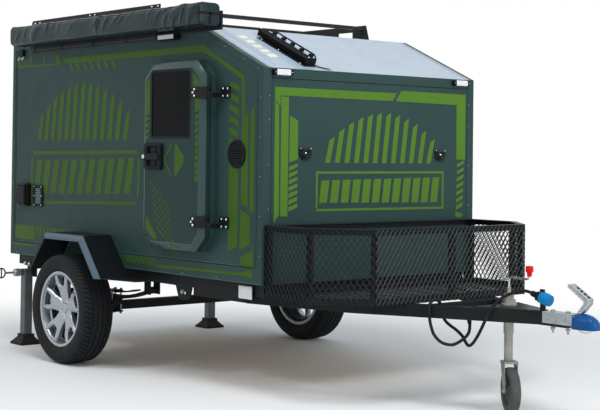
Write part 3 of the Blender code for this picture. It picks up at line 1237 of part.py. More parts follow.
def galley_bulkhead():
    inner = HALF - WALL - SEAT_GAP
    low = BODY_BOTTOM + FLOOR_THICKNESS
    high = ROOF_TOP - WALL - SEAT_GAP
    return box("galley_bulkhead", (0.015, 2 * inner, high - low), (FRONT_X - BULKHEAD_BACK, 0, (high + low) / 2), PLYWOOD)


SIDES = (("right", -1), ("left", 1))

chassis_frame()
drawbar()
drawbar_cable()
cable_plug()
axle_beam()
skin_panel("roof_panel", 0, PALE)
skin_panel("slope_panel", 1, PALE)
skin_panel("front_wall", 2, GREEN)
floor_panel()
galley_bulkhead()
rear_frame()
rear_hatch()
basket_frame()
basket_mesh()
awning_bag()
awning_rail()
roof_rack()
light_bar()
side_vent()
power_inlet()
side_grille()
coupler()
coupler_cap()
coupler_lever()
jockey_outer_tube()
jockey_inner_tube()
jockey_fork()
jockey_wheel()
for label, side in SIDES:
    leaf_spring(label, side)
    side_wall(label, side)
    door(label, side)
    door_window(label, side)
    door_latch(label, side)
    for position, height in zip(("upper", "lower"), HINGE_HEIGHTS):
        hinge_bracket(position + "_" + label, side, height)
    fender(label, side)
    marker_lamp(label, side)
    lashing_eye(label, side)
    side_lamp(label, side)
    tail_lamp(label, side)
    tyre(label, side)
    rim(label, side)
    rear_leg(label, side)
    rear_foot(label, side)
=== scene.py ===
# %% [markdown]
# # A camper trailer, dressed over its solids
# The imported solids of the trailer are already in place, in metres, with +X towards the coupling and
# +Y to the trailer's left. This lesson adds what a solid model leaves out: paint and vinyl, tread,
# cast wheels, expanded metal, a fabric awning bag, lamps, bolts and a smooth cable. Every new piece
# is a surface that numpy works out as whole arrays, so each formula can be read in one place.

# %% Load the solids and bake their places into their meshes
import math

import bmesh
import bpy
import numpy as np
from mathutils import Matrix, Vector


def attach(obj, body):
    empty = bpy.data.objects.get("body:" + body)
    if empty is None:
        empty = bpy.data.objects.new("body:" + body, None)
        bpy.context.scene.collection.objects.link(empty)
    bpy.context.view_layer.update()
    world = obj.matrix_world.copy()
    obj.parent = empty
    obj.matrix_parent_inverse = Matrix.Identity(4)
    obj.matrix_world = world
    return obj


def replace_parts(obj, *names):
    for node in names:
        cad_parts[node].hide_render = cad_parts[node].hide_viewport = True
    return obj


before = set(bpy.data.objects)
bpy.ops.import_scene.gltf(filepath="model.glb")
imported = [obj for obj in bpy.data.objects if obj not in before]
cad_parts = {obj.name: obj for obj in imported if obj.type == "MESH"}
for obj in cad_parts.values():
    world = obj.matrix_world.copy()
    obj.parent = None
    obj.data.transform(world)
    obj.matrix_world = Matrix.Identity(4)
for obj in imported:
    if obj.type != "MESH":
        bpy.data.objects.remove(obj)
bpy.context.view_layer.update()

# %% [markdown]
# ## Where things are
# Lengths along the trailer are easiest to read from the body's front face, so most places here are
# written as FRONT plus a distance before that face. The other numbers are the body's main planes.

# %% Main planes of the trailer
FRONT = 0.5685          # x of the body's front face
SIDE = 0.750            # body's half width
DOOR_FACE = 0.828       # outer face of a door leaf, from the middle
TRACK = 0.880           # middle of a wheel, from the middle
WHEEL_X = FRONT - 1.576
HUB_HEIGHT = 0.310
SIDES = (("right", -1), ("left", 1))    # each side's name and the sign of its y

print("wheel middle:", (round(WHEEL_X, 4), TRACK, HUB_HEIGHT))

# %% [markdown]
# ## The camera
# The photograph looks at the trailer's front right corner from about chest height. Its place was
# worked out from corners whose real places are known. A lens of 81 mm on a 36 mm frame gives the
# mild perspective, and a small vertical shift keeps the upright edges upright.

# %% Camera at the photograph's viewpoint
YAW, PITCH, ROLL = 0.6997, 0.0181, 0.0115
PIXELS_WIDE, PIXELS_HIGH = 600, 410
FOCAL_PIXELS, HORIZON_ROW = 1355.0, 130.86

look = Vector((-math.cos(YAW) * math.cos(PITCH), math.sin(YAW) * math.cos(PITCH), math.sin(PITCH)))
level = look.cross(Vector((0, 0, 1))).normalized()
upward = level.cross(look)
right = math.cos(ROLL) * level + math.sin(ROLL) * upward
top = -math.sin(ROLL) * level + math.cos(ROLL) * upward
camera_data = bpy.data.cameras.new("photo_camera")
camera_data.sensor_width = 36.0
camera_data.lens = FOCAL_PIXELS / PIXELS_WIDE * camera_data.sensor_width
camera_data.shift_y = (HORIZON_ROW - PIXELS_HIGH / 2) / PIXELS_WIDE
camera = bpy.data.objects.new("photo_camera", camera_data)
bpy.context.scene.collection.objects.link(camera)
turn = Matrix((right, top, -look)).transposed().to_4x4()
camera.matrix_world = Matrix.Translation((FRONT + 5.1913, -4.8874, 1.197)) @ turn
bpy.context.scene.camera = camera
print("lens:", round(camera_data.lens, 2), "shift:", round(camera_data.shift_y, 4))

# %% [markdown]
# ## Meshes from arrays
# A shape here is a pair: an array of points and a list of face arrays. `grid_faces` numbers the
# quads of a grid of points, and may close it in one or both directions. `piece` joins shapes into
# one mesh, welds the seams and poles, smooths all but the sharp edges, and hangs it on a body.

# %% Faces of a grid, and shapes made into pieces
def grid_faces(rows, columns, wrap_rows=False, wrap_columns=False):
    """Quad at row i, column j joins points (i, j), (i, j+1), (i+1, j+1), (i+1, j), counted row by row."""
    last_rows, last_columns = rows - (not wrap_rows), columns - (not wrap_columns)
    i, j = np.meshgrid(np.arange(last_rows), np.arange(last_columns), indexing="ij")
    after_i = (i + 1) % rows
    after_j = (j + 1) % columns
    corners = [i * columns + j, i * columns + after_j, after_i * columns + after_j, after_i * columns + j]
    return np.stack(corners, axis=-1).reshape(-1, 4)


def merged(shapes):
    """One shape of several: the points one after another, the faces' numbers moved on to match."""
    points, faces, count = [], [], 0
    for shape_points, shape_faces in shapes:
        points.append(np.asarray(shape_points, float).reshape(-1, 3))
        faces += [np.atleast_2d(rows) + count for rows in shape_faces]
        count += len(points[-1])
    return np.concatenate(points), faces


def outward(shape):
    """The shape with its faces turned so that the volume they close is positive."""
    points, faces = shape
    volume = 0.0
    for rows in faces:
        for k in range(1, rows.shape[1] - 1):
            a, b, c = points[rows[:, 0]], points[rows[:, k]], points[rows[:, k + 1]]
            volume += np.einsum("ij,ij->", a, np.cross(b, c))
    return (points, [rows[:, ::-1] for rows in faces]) if volume < 0 else shape


def piece(name, shapes, finish, body="trailer", sharp=35):
    """Mesh object of these shapes on a body, with its finish."""
    points, faces = merged(shapes)
    sizes = np.concatenate([np.full(len(rows), rows.shape[1]) for rows in faces])
    loops = np.concatenate([rows.reshape(-1) for rows in faces])
    mesh = bpy.data.meshes.new(name)
    mesh.vertices.add(len(points))
    mesh.vertices.foreach_set("co", points.astype(np.float32).ravel())
    mesh.loops.add(len(loops))
    mesh.loops.foreach_set("vertex_index", loops.astype(np.int32))
    mesh.polygons.add(len(sizes))
    mesh.polygons.foreach_set("loop_start", (np.cumsum(sizes) - sizes).astype(np.int32))
    mesh.update(calc_edges=True)
    welded = bmesh.new()
    welded.from_mesh(mesh)
    bmesh.ops.remove_doubles(welded, verts=welded.verts, dist=2e-6)
    bmesh.ops.dissolve_degenerate(welded, dist=1e-6, edges=welded.edges)
    welded.to_mesh(mesh)
    welded.free()
    mesh.validate()
    mesh.shade_smooth()
    mesh.set_sharp_from_angle(angle=math.radians(sharp))
    mesh.materials.append(finish)
    made = bpy.data.objects.new(name, mesh)
    bpy.context.scene.collection.objects.link(made)
    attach(made, body)
    print(name + ":", len(mesh.polygons), "faces")
    return made


print("a grid of 4 by 6 points, closed both ways, has", len(grid_faces(4, 6, True, True)), "faces")

# %% [markdown]
# ## Three ways to make a solid
# Nearly every fitting on a trailer is a plate, a bar or a turned part. `plate` raises an outline out
# of a plane with a small bevel on both rims, `bar` carries a circle along a path, and `turned`
# carries a profile round an axis. Faces are checked by volume, so each shape points outwards.

# %% Plates, bars and turned parts
PLANES = {   # rows give world x, y, z of the outline's across, up and the height off the plane
    "right": np.array([[1, 0, 0], [0, 0, -1], [0, 1, 0]], float),
    "left": np.array([[1, 0, 0], [0, 0, 1], [0, 1, 0]], float),
    "front": np.array([[0, 0, 1], [1, 0, 0], [0, 1, 0]], float),
    "rear": np.array([[0, 0, -1], [1, 0, 0], [0, 1, 0]], float),
    "top": np.eye(3),
}


def drawn_in(outline, amount):
    """Each corner moved inwards along its bisector, so that the sides come in by the amount."""
    outline = np.asarray(outline, float)
    ahead = np.roll(outline, -1, axis=0) - outline
    ahead /= np.linalg.norm(ahead, axis=1, keepdims=True)
    normal = np.stack([-ahead[:, 1], ahead[:, 0]], axis=1)
    before = np.roll(normal, 1, axis=0)
    bisector = normal + before
    bisector /= np.linalg.norm(bisector, axis=1, keepdims=True)
    area = np.sum(outline[:, 0] * np.roll(outline[:, 1], -1) - outline[:, 1] * np.roll(outline[:, 0], -1))
    reach = amount / np.maximum(np.sum(bisector * normal, axis=1), 0.3)
    return outline + bisector * reach[:, None] * np.sign(area)


def plate(outline, low, high, plane="top", bevel=0.0, back=None):
    """Rings of the outline at low and high, drawn in by the bevel at the top rim and at the back rim."""
    back = bevel if back is None else back
    rings = [(drawn_in(outline, back), low), (outline, low + back), (outline, high - bevel),
             (drawn_in(outline, bevel), high)]
    count = len(outline)
    points = np.concatenate([np.column_stack([ring, np.full(count, level)]) for ring, level in rings])
    faces = [grid_faces(4, count, wrap_columns=True), np.arange(count)[None, ::-1],
             np.arange(3 * count, 4 * count)[None]]
    return outward((points @ PLANES[plane].T, faces))


def round_box(centre, size, bevel=0.002, plane="top"):
    """Box of the given across, up and out sizes: a rectangle with its corners cut, raised by `plate`."""
    across, up, out = np.array(size, float) / 2
    cut = min(bevel, across * 0.9, up * 0.9)
    outline = [(-across + cut, -up), (across - cut, -up), (across, -up + cut), (across, up - cut),
               (across - cut, up), (-across + cut, up), (-across, up - cut), (-across, -up + cut)]
    points, faces = plate(outline, -out, out, plane, min(bevel, out * 0.9))
    return points + np.asarray(centre, float), faces


def loft(rings):
    """Rings of equally many points, each joined to the next, with a flat face over the first and the last."""
    rings = np.asarray(rings, float)
    count, around = rings.shape[:2]
    last = (count - 1) * around
    return outward((rings.reshape(-1, 3), [grid_faces(count, around, wrap_columns=True),
                                           np.arange(around)[None, ::-1],
                                           np.arange(last, last + around)[None]]))


def skin(grid, low, high):
    """Sheet over a grid of points: the grid moved along its normals by low and by high, its rim closed."""
    grid = np.asarray(grid, float)
    normal = np.cross(np.gradient(grid, axis=0), np.gradient(grid, axis=1))
    normal /= np.linalg.norm(normal, axis=2, keepdims=True)
    return loft(np.concatenate([grid + normal * low, (grid + normal * high)[:, ::-1]], axis=1))


def ring_plate(outer, inner, low, high, plane="top", bevel=0.001):
    """Flat ring between two outlines of equally many corners, its two upper rims cut by the bevel."""
    levels = [(outer, low), (outer, high - bevel), (drawn_in(outer, bevel), high),
              (drawn_in(inner, -bevel), high), (inner, high - bevel), (inner, low)]
    count = len(outer)
    points = np.concatenate([np.column_stack([ring, np.full(count, level)]) for ring, level in levels])
    return outward((points @ PLANES[plane].T, [grid_faces(6, count, True, True)]))


def rounded(width, height, radius, centre=(0.0, 0.0), steps=6):
    """Rectangle's outline with its corners rounded to the radius."""
    swing = np.linspace(0, np.pi / 2, steps)
    arcs = [np.column_stack([sx * (width / 2 - radius) + radius * np.cos(swing + turn),
                             sy * (height / 2 - radius) + radius * np.sin(swing + turn)])
            for sx, sy, turn in ((1, 1, 0), (-1, 1, np.pi / 2), (-1, -1, np.pi), (1, -1, 1.5 * np.pi))]
    return np.concatenate(arcs) + np.asarray(centre, float)


def rectangle(left, right, low, high):
    """The four corners of a rectangle, in order round it."""
    return [(left, low), (right, low), (right, high), (left, high)]


def across_path(path):
    """Two directions square to the path at each point, turned as little as possible from one to the next."""
    ahead = np.gradient(path, axis=0)
    ahead /= np.linalg.norm(ahead, axis=1, keepdims=True)
    first = np.cross(ahead[0], (0.0, 0.0, 1.0) if abs(ahead[0, 2]) < 0.9 else (1.0, 0.0, 0.0))
    one = [first / np.linalg.norm(first)]
    for direction in ahead[1:]:
        kept = one[-1] - direction * one[-1].dot(direction)
        one.append(kept / np.linalg.norm(kept))
    one = np.array(one)
    return one, np.cross(ahead, one)


def bar(path, radius, sides=16):
    """Ring of points round each point of the path, at the path's radius there, with flat ends."""
    path = np.asarray(path, float)
    radius = np.broadcast_to(radius, len(path))
    one, two = across_path(path)
    angle = np.linspace(0, 2 * np.pi, sides, endpoint=False)
    ring = one[:, None] * np.cos(angle)[None, :, None] + two[:, None] * np.sin(angle)[None, :, None]
    return loft(path[:, None] + ring * radius[:, None, None])


def turned(profile, centre, axis=(0, 0, 1), steps=48):
    """Point at radius r and height h goes to centre + axis·h + r·(cos t, sin t) across the axis."""
    profile = np.asarray(profile, float)
    axis = np.array(Vector(axis).normalized())
    one = np.array(Vector(axis).orthogonal().normalized())
    two = np.cross(axis, one)
    angle = np.linspace(0, 2 * np.pi, steps, endpoint=False)
    ring = one * np.cos(angle)[:, None] + two * np.sin(angle)[:, None]
    points = (np.asarray(centre, float) + axis * profile[None, :, 1, None]
              + ring[:, None] * profile[None, :, 0, None])
    return outward((points.reshape(-1, 3), [grid_faces(steps, len(profile), True, True)]))


def smooth_curve(points, steps=8):
    """Curve through the points whose direction at each is the line from the one before to the one after."""
    points = np.asarray(points, float)
    padded = np.concatenate([2 * points[:1] - points[1:2], points, 2 * points[-1:] - points[-2:-1]])
    before, here, after, beyond = padded[:-3], padded[1:-2], padded[2:-1], padded[3:]
    t = (np.arange(steps) / steps)[None, :, None]
    here, before, after, beyond = (part[:, None] for part in (here, before, after, beyond))
    spans = 0.5 * (2 * here + (after - before) * t + (2 * before - 5 * here + 4 * after - beyond) * t ** 2
                   + (3 * here - before - 3 * after + beyond) * t ** 3)
    return np.concatenate([spans.reshape(-1, 3), points[-1:]])


def evenly(path, count):
    """The path's points set again at equal distances along it."""
    along = np.concatenate([[0], np.cumsum(np.linalg.norm(np.diff(path, axis=0), axis=1))])
    wanted = np.linspace(0, along[-1], count)
    return np.column_stack([np.interp(wanted, along, path[:, k]) for k in range(3)]), along[-1]


def dome_head(centre, radius, height, axis, steps=16):
    """Round bolt or rivet head: a quarter of an ellipse turned about its axis."""
    swing = np.linspace(0, np.pi / 2, 6)
    profile = np.column_stack([radius * np.cos(swing), height * np.sin(swing)])
    profile[-1, 0] = 0.0
    return turned(np.concatenate([[(0.0, 0.0)], profile]), centre, axis, steps)


def hex_head(centre, radius, height, axis):
    """Six-sided bolt head with a turned-down top edge, on a round washer."""
    rim = radius * 1.35
    head = [(0, 0), (radius, 0), (radius, height * 0.8), (radius * 0.86, height), (0, height)]
    washer = [(0, -0.001), (rim, -0.001), (rim, 0.0012), (0, 0.0012)]
    return merged([turned(head, centre, axis, 6), turned(washer, centre, axis, 20)])


print("points round a box with rounded corners:", len(rounded(0.10, 0.06, 0.01)))

# %% [markdown]
# ## Finishes
# Real paint, plastic and metal are never one flat value. `surface` builds one Principled material
# with a slow drift of colour, a change of gloss from place to place, a fine bump at the scale of the
# real grain, and, for hard parts, edges rounded in the shading by a bevel, with a light grey painted
# along them as a highlight. Where asked, faces that turn upwards are painted lighter as a highlight
# too. All of it reads the piece's own coordinates, so it stays put from every side.

# %% Colours and the material maker
def linear(red, green, blue):
    """Screen colour, 0 to 255, as the linear value that a shader takes."""
    screen = np.array([red, green, blue]) / 255.0
    return tuple(np.where(screen <= 0.04045, screen / 12.92, ((screen + 0.055) / 1.055) ** 2.4))


ROAD_DUST = (150, 142, 128)
# The light grey below is painted along hard edges as a highlight.
EDGE_HIGHLIGHT_COLOUR = (0.35, 0.38, 0.40, 1)    # linear, with alpha


class Nodes:
    """Short hand for adding and joining the nodes of one material or world."""

    def __init__(self, owner):
        owner.use_nodes = True
        self.tree = owner.node_tree
        self.shader = self.tree.nodes.get("Principled BSDF")

    def add(self, kind, values=(), **settings):
        made = self.tree.nodes.new(kind)
        for key, value in settings.items():
            setattr(made, key, value)
        for key, value in dict(values).items():
            if isinstance(value, bpy.types.NodeSocket):
                self.tree.links.new(value, made.inputs[key])
            else:
                made.inputs[key].default_value = value
        return made

    def join(self, source, target):
        self.tree.links.new(source, target)

    def noise(self, place, scale, detail, roughness=0.5):
        values = {"Vector": place, "Scale": scale, "Detail": detail, "Roughness": roughness}
        return self.add("ShaderNodeTexNoise", values).outputs["Fac"]

    def ramp(self, value, low, high, start=0.0, end=1.0, **settings):
        """The value's way from low to high, turned into a way from start to end and held there."""
        values = {"Value": value, "From Min": low, "From Max": high, "To Min": start, "To Max": end}
        return self.add("ShaderNodeMapRange", values, **settings).outputs["Result"]

    def math(self, operation, one, two):
        return self.add("ShaderNodeMath", {0: one, 1: two}, operation=operation).outputs[0]

    def blend(self, share, under, over):
        values = {"Factor": share, "A": under, "B": over}
        return self.add("ShaderNodeMix", values, data_type="RGBA").outputs["Result"]


def surface(name, colour, roughness, metallic=0.0, drift=0.10, drift_scale=3.0, gloss_change=0.08, grain=0.10,
            grain_scale=900.0, grain_depth=0.0004, edge=0.0, edge_light=0.0, dust=0.0, stretch=(1, 1, 1),
            mirror=None, painted_top_light=None, **constants):
    """Principled material: screen colour and gloss drift with slow noise, and fine noise gives the bump."""
    material = bpy.data.materials.new(name)
    nodes = Nodes(material)
    shader = nodes.shader.inputs
    shader["Metallic"].default_value = metallic
    if mirror is None:
        mirror = 0.5 if metallic > 0.5 else 0.09
    shader["Specular IOR Level"].default_value = mirror
    for key, value in constants.items():
        shader[key.replace("_", " ")].default_value = value
    place = nodes.add("ShaderNodeTexCoord").outputs["Object"]
    place = nodes.add("ShaderNodeMapping", {"Vector": place, "Scale": stretch}).outputs["Vector"]
    slow = nodes.noise(place, drift_scale, 4.0, 0.6)
    middle = nodes.noise(place, drift_scale * 7, 5.0)
    fine = nodes.noise(place, grain_scale, 3.0)
    shade = nodes.ramp(slow, 0.3, 0.7, 1.0 - drift, 1.0 + drift)
    tone = nodes.add("ShaderNodeVectorMath", {0: linear(*colour), "Scale": shade},
                     operation="SCALE").outputs[0]
    if dust:
        height = nodes.add("ShaderNodeSeparateXYZ", {0: place}).outputs["Z"]
        low = nodes.ramp(height, 0.05, 0.75, dust, 0.0)
        tone = nodes.blend(nodes.math("MULTIPLY", low, slow), tone, (*linear(*ROAD_DUST), 1))
    normal = nodes.add("ShaderNodeNewGeometry").outputs["Normal"]
    # Painted highlight: faces that turn upwards are blended towards a lighter colour.
    if painted_top_light:
        upwards = nodes.add("ShaderNodeSeparateXYZ", {0: normal}).outputs["Z"]
        tone = nodes.blend(nodes.ramp(upwards, 0.60, 0.85), tone, (*linear(*painted_top_light), 1))
    nodes.join(nodes.ramp(middle, 0.3, 0.7, roughness - gloss_change, roughness + gloss_change),
               shader["Roughness"])
    bump = nodes.add("ShaderNodeBump", {"Strength": grain, "Distance": grain_depth, "Height": fine})
    if edge:
        soft = nodes.add("ShaderNodeBevel", {"Radius": edge}, samples=6).outputs["Normal"]
        nodes.join(soft, bump.inputs["Normal"])
        # Painted highlight: a light grey blended in along the rounded edges, blotched by noise.
        if edge_light:
            bent = nodes.add("ShaderNodeVectorMath", {0: soft, 1: normal},
                             operation="DOT_PRODUCT").outputs["Value"]
            edge_highlight_share = nodes.math("MULTIPLY", nodes.ramp(bent, 0.99, 0.85, 0.0, edge_light), middle)
            tone = nodes.blend(edge_highlight_share, tone, EDGE_HIGHLIGHT_COLOUR)
    nodes.join(bump.outputs["Normal"], shader["Normal"])
    nodes.join(tone, shader["Base Color"])
    return material


print("screen grey 128 is", round(float(linear(128, 128, 128)[0]), 3), "as a linear value")

# %% The trailer's finishes
body_green = surface("body_green", (46, 69, 67), 0.40, drift=0.06, drift_scale=1.6, grain=0.12,
                     grain_depth=0.0002, edge=0.0025, edge_light=0.12, dust=0.05)
door_green = surface("door_green", (34, 58, 56), 0.24, drift=0.06, drift_scale=2.0, grain_depth=0.0002,
                     edge=0.002, edge_light=0.20, dust=0.03)
door_border = surface("door_border", (38, 66, 63), 0.24, drift=0.06, drift_scale=2.0, grain=0.08,
                      grain_depth=0.0002, edge=0.0015, edge_light=0.3, mirror=0.42)
roof_pale = surface("roof_pale", (164, 180, 196), 0.30, drift=0.04, drift_scale=1.2, grain=0.08,
                    grain_scale=700, edge=0.002, mirror=0.4)
black_coat = surface("black_powder_coat", (22, 26, 29), 0.42, drift=0.15, drift_scale=6, grain=0.30,
                     grain_scale=1400, grain_depth=0.0003, edge=0.0025, edge_light=0.25, dust=0.08)
fender_coat = surface("fender_coat", (22, 27, 31), 0.34, drift_scale=4, grain=0.18, grain_scale=1200,
                      edge=0.002, edge_light=0.5, dust=0.04)
# Pale steel blue painted over the fenders' slanted fold as its highlight.
fender_fold_highlight = surface("fender_fold_highlight", (88, 104, 116), 0.34, drift_scale=7, grain=0.20, grain_scale=1200,
                      edge=0.001)
# The strands' upward faces are painted lighter as a highlight.
mesh_coat = surface("mesh_coat", (16, 22, 24), 0.30, drift=0.12, drift_scale=6, grain=0.12, grain_scale=1200,
                    grain_depth=0.0002, mirror=0.22, painted_top_light=(96, 106, 110))
rack_brown = surface("rack_brown", (44, 45, 44), 0.42, drift_scale=5, grain=0.25, grain_scale=1300,
                     edge=0.0015, edge_light=0.25)
aged_zinc = surface("aged_zinc", (150, 150, 142), 0.48, metallic=0.7, drift=0.20, drift_scale=16,
                    gloss_change=0.12, grain=0.25, grain_scale=240, edge=0.0012, dust=0.12)
moulded_black = surface("moulded_black", (21, 23, 26), 0.42, drift=0.12, drift_scale=12, grain=0.35,
                        grain_scale=1800, edge=0.0015, edge_light=0.2)
rubber_black = surface("rubber_black", (25, 28, 30), 0.55, drift=0.15, drift_scale=14, grain=0.30,
                       edge=0.0015, dust=0.08)
worn_rubber = surface("worn_rubber", (74, 76, 76), 0.72, drift=0.16, drift_scale=22, grain=0.35,
                      grain_scale=800, edge=0.002, dust=0.15)
zinc = surface("zinc_coat", (160, 167, 170), 0.40, metallic=0.85, drift=0.16, drift_scale=28,
               gloss_change=0.12, grain=0.20, grain_scale=260, edge=0.0015)
leg_zinc = surface("leg_zinc", (86, 94, 96), 0.46, metallic=0.55, drift=0.18, drift_scale=22,
                   gloss_change=0.12, grain=0.20, grain_scale=260, edge=0.0015, dust=0.10)
bright_steel = surface("bright_steel", (205, 208, 210), 0.26, metallic=1.0, drift=0.08, drift_scale=40,
                       grain_scale=600, edge=0.001)
birch_ply = surface("birch_ply", (196, 168, 128), 0.55, drift=0.14, drift_scale=5, grain=0.30,
                    grain_scale=160, stretch=(0.15, 1, 1))
wheel_lacquer = surface("wheel_lacquer", (164, 170, 176), 0.32, metallic=0.75, drift=0.05, drift_scale=10,
                        grain=0.05, grain_scale=1500, edge=0.0012)
# Dark grey painted inside the wheels' barrels as their shade.
wheel_shadow = surface("wheel_inner", (58, 62, 65), 0.60, metallic=0.3, drift=0.18, drift_scale=12,
                       grain_scale=400)
drum_iron = surface("drum_iron", (44, 46, 47), 0.65, metallic=0.3, drift=0.2, drift_scale=14, grain_scale=400)
tinted_acrylic = surface("tinted_acrylic", (7, 9, 11), 0.10, drift=0.05, gloss_change=0.02, grain=0.02,
                         grain_scale=30, mirror=0.05)
LENS = dict(gloss_change=0.04, grain=0.25, grain_scale=240, grain_depth=0.001, Coat_Weight=0.8,
            Coat_Roughness=0.05)
clear_lens = surface("clear_lens", (226, 229, 232), 0.16, drift=0.04, drift_scale=60, edge=0.001, **LENS)
red_lens = surface("red_lens", (176, 22, 24), 0.18, drift_scale=50, edge=0.001, **LENS)
amber_lens = surface("amber_lens", (214, 120, 24), 0.18, drift_scale=50, **LENS)
signal_blue = surface("signal_blue", (2, 74, 134), 0.34, drift=0.08, drift_scale=18, grain=0.12, edge=0.0015,
                      mirror=0.2)
bright_blue = surface("bright_blue", (14, 124, 184), 0.36, drift=0.08, drift_scale=24, grain=0.14, edge=0.001)
signal_red = surface("signal_red", (206, 24, 34), 0.35, drift_scale=30, grain=0.12)
# One lime vinyl in two copies: the sides' copy is painted darker as shade, the front's lighter as light.
vinyl_side_painted_shade = surface("vinyl_side_painted_shade", (60, 92, 26), 0.38, drift=0.05, drift_scale=2.5)
vinyl_front_painted_light = surface("vinyl_front_painted_light", (82, 120, 40), 0.38, drift=0.05, drift_scale=2.5)
# Pale colour for the blocks painted on the slope as a reflection.
painted_reflection_white = surface("painted_reflection_white", (222, 226, 214), 0.40, drift=0.05)
print("finishes:", len(bpy.data.materials))

# %% [markdown]
# ## A finish for every solid
# A solid whose shape is right only needs its finish, which goes into its material slots.

# %% Finishes on the solids
FINISH_OF = {    # a name that ends in _ stands for the right and the left one
    body_green: "side_wall_ front_wall rear_frame rear_hatch",
    door_green: "door_",
    roof_pale: "roof_panel slope_panel",
    black_coat: "chassis_frame drawbar axle_beam basket_frame basket_mesh leaf_spring_ door_hinge_upper_ "
                "door_hinge_lower_ awning_rail",
    rack_brown: "roof_rack",
    fender_coat: "fender_",
    moulded_black: "light_bar side_vent power_inlet side_grille door_latch_ awning_bag",
    rubber_black: "drawbar_cable cable_plug tyre_ rear_foot_",
    worn_rubber: "jockey_wheel",
    zinc: "coupler_body coupler_lever lashing_eye_",
    leg_zinc: "rear_leg_",
    aged_zinc: "jockey_outer_tube jockey_inner_tube jockey_fork",
    wheel_lacquer: "rim_",
    tinted_acrylic: "door_window_",
    clear_lens: "marker_lamp_ side_lamp_",
    red_lens: "tail_lamp_",
    signal_blue: "coupler_cap",
    birch_ply: "floor_panel galley_bulkhead",
}
dressed = 0
for finish, names in FINISH_OF.items():
    for name in names.split():
        for label in ("right", "left") if name.endswith("_") else ("",):
            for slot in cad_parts[name + label].material_slots:
                slot.material = finish
            dressed += 1
print("solids with a finish:", dressed, "of", len(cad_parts))

# %% [markdown]
# ## The lighting cable
# A trailer's cable is a limp rubber hose of seven wires. It leaves a boss under the drawbar, loops
# down under its own weight, passes over the beam, hangs again and rises to its plug over the drawbar's
# nose. Its route repeats the solid's points, smoothed into one curve, and a circle is carried along
# it. At the boss a tapered rubber boot keeps it from kinking.

# %% Cable route, hose and boot
CABLE_DIAMETER = 0.015
CABLE_ROUTE = np.array([
    (0.795, -0.126, 0.4467), (0.795, -0.126, 0.425), (0.799, -0.126, 0.398), (0.802, -0.140, 0.364),
    (0.790, -0.170, 0.335), (0.762, -0.204, 0.313), (0.727, -0.240, 0.322), (0.700, -0.263, 0.356),
    (0.686, -0.272, 0.398), (0.679, -0.275, 0.437), (0.674, -0.275, 0.4725), (0.671, -0.2618, 0.5043),
    (0.669, -0.230, 0.5175), (0.670, -0.1982, 0.5043), (0.673, -0.185, 0.4725), (0.678, -0.183, 0.440),
    (0.690, -0.177, 0.415), (0.709, -0.166, 0.396),
    (0.740, -0.152, 0.374), (0.768, -0.143, 0.349), (0.788, -0.142, 0.323), (0.816, -0.150, 0.310),
    (0.854, -0.160, 0.330), (0.890, -0.162, 0.376), (0.914, -0.159, 0.420), (0.932, -0.150, 0.464),
    (0.952, -0.134, 0.507), (0.976, -0.104, 0.545), (1.006, -0.067, 0.568), (1.038, -0.036, 0.581)])
PLUG_BACK = np.array((1.088, -0.022, 0.573))
PLUG_DROOP = math.radians(14)
plug_axis = np.array((math.cos(PLUG_DROOP), 0.0, -math.sin(PLUG_DROOP)))

route = np.concatenate([CABLE_ROUTE, [PLUG_BACK - plug_axis * 0.022, PLUG_BACK - plug_axis * 0.0003]])
route[:, 0] += FRONT
cable_path, cable_length = evenly(smooth_curve(route, 12), 420)
cable = piece("lighting_cable", [bar(cable_path, CABLE_DIAMETER / 2, 18)], rubber_black)
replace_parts(cable, "drawbar_cable")

boot_path = cable_path[:14]
boot_along = np.linspace(0, 1, len(boot_path))
boot_radius = 0.0135 - 0.0045 * boot_along + 0.0007 * np.sin(boot_along * np.pi * 12)
cable_boot = piece("cable_boot", [bar(boot_path, boot_radius, 24)], rubber_black)

# %% Grip, lugs and ridged blue cap of the plug
plug_start = PLUG_BACK + (FRONT, 0, 0)
one = np.array(Vector(plug_axis).orthogonal().normalized())
two = np.cross(plug_axis, one)


def round_the_plug(count, first, ends, radius, sides):
    """Equal bars round the plug, from one to the other of two (along its axis, out from it) places."""
    facings = [one * math.cos(angle) + two * math.sin(angle)
               for angle in np.arange(count) * 2 * np.pi / count + first]
    return [bar([plug_start + plug_axis * along + facing * out for along, out in ends], radius, sides)
            for facing in facings]


cap = turned([(0.0235, 0.060), (0.0272, 0.060), (0.028, 0.064), (0.028, 0.100), (0.0268, 0.106),
              (0.0262, 0.112), (0.020, 0.1126), (0.0, 0.1126), (0.0, 0.1118), (0.0235, 0.100)], plug_start,
             plug_axis, 48)
ridges = round_the_plug(16, 0.0, ((0.066, 0.0276), (0.099, 0.0276)), 0.0013, 6)
plug_cap = piece("plug_cap", [cap] + ridges, bright_blue)
lugs = round_the_plug(3, 0.6, ((0.053, 0.026), (0.053, 0.0335)), (0.0065, 0.005), 10)
grip = turned([(0.0125, 0.001), (0.0128, 0.001), (0.014, 0.006), (0.0132, 0.009), (0.0142, 0.013),
               (0.0134, 0.016), (0.0144, 0.020), (0.0136, 0.023), (0.0148, 0.027), (0.020, 0.034),
               (0.0125, 0.034)], plug_start, plug_axis, 36)
plug_grip = piece("plug_grip", lugs + [grip], rubber_black)
print("cable length:", round(float(cable_length), 3), "m")

# %% [markdown]
# ## Expanded metal
# The basket is clad outside with expanded metal: a slit sheet pulled into diamonds. Each cell is a
# diamond with a smaller diamond cut out of it, given the sheet's thickness. The die leaves every
# strand tipped, so the inner diamond's top corner stands out and its bottom corner stands in. Cells
# tile the wall, and points past its edge are held at the edge, which cuts the outer cells cleanly.
# Two small gussets fill the corners where the basket's sides meet the body's lower edge.

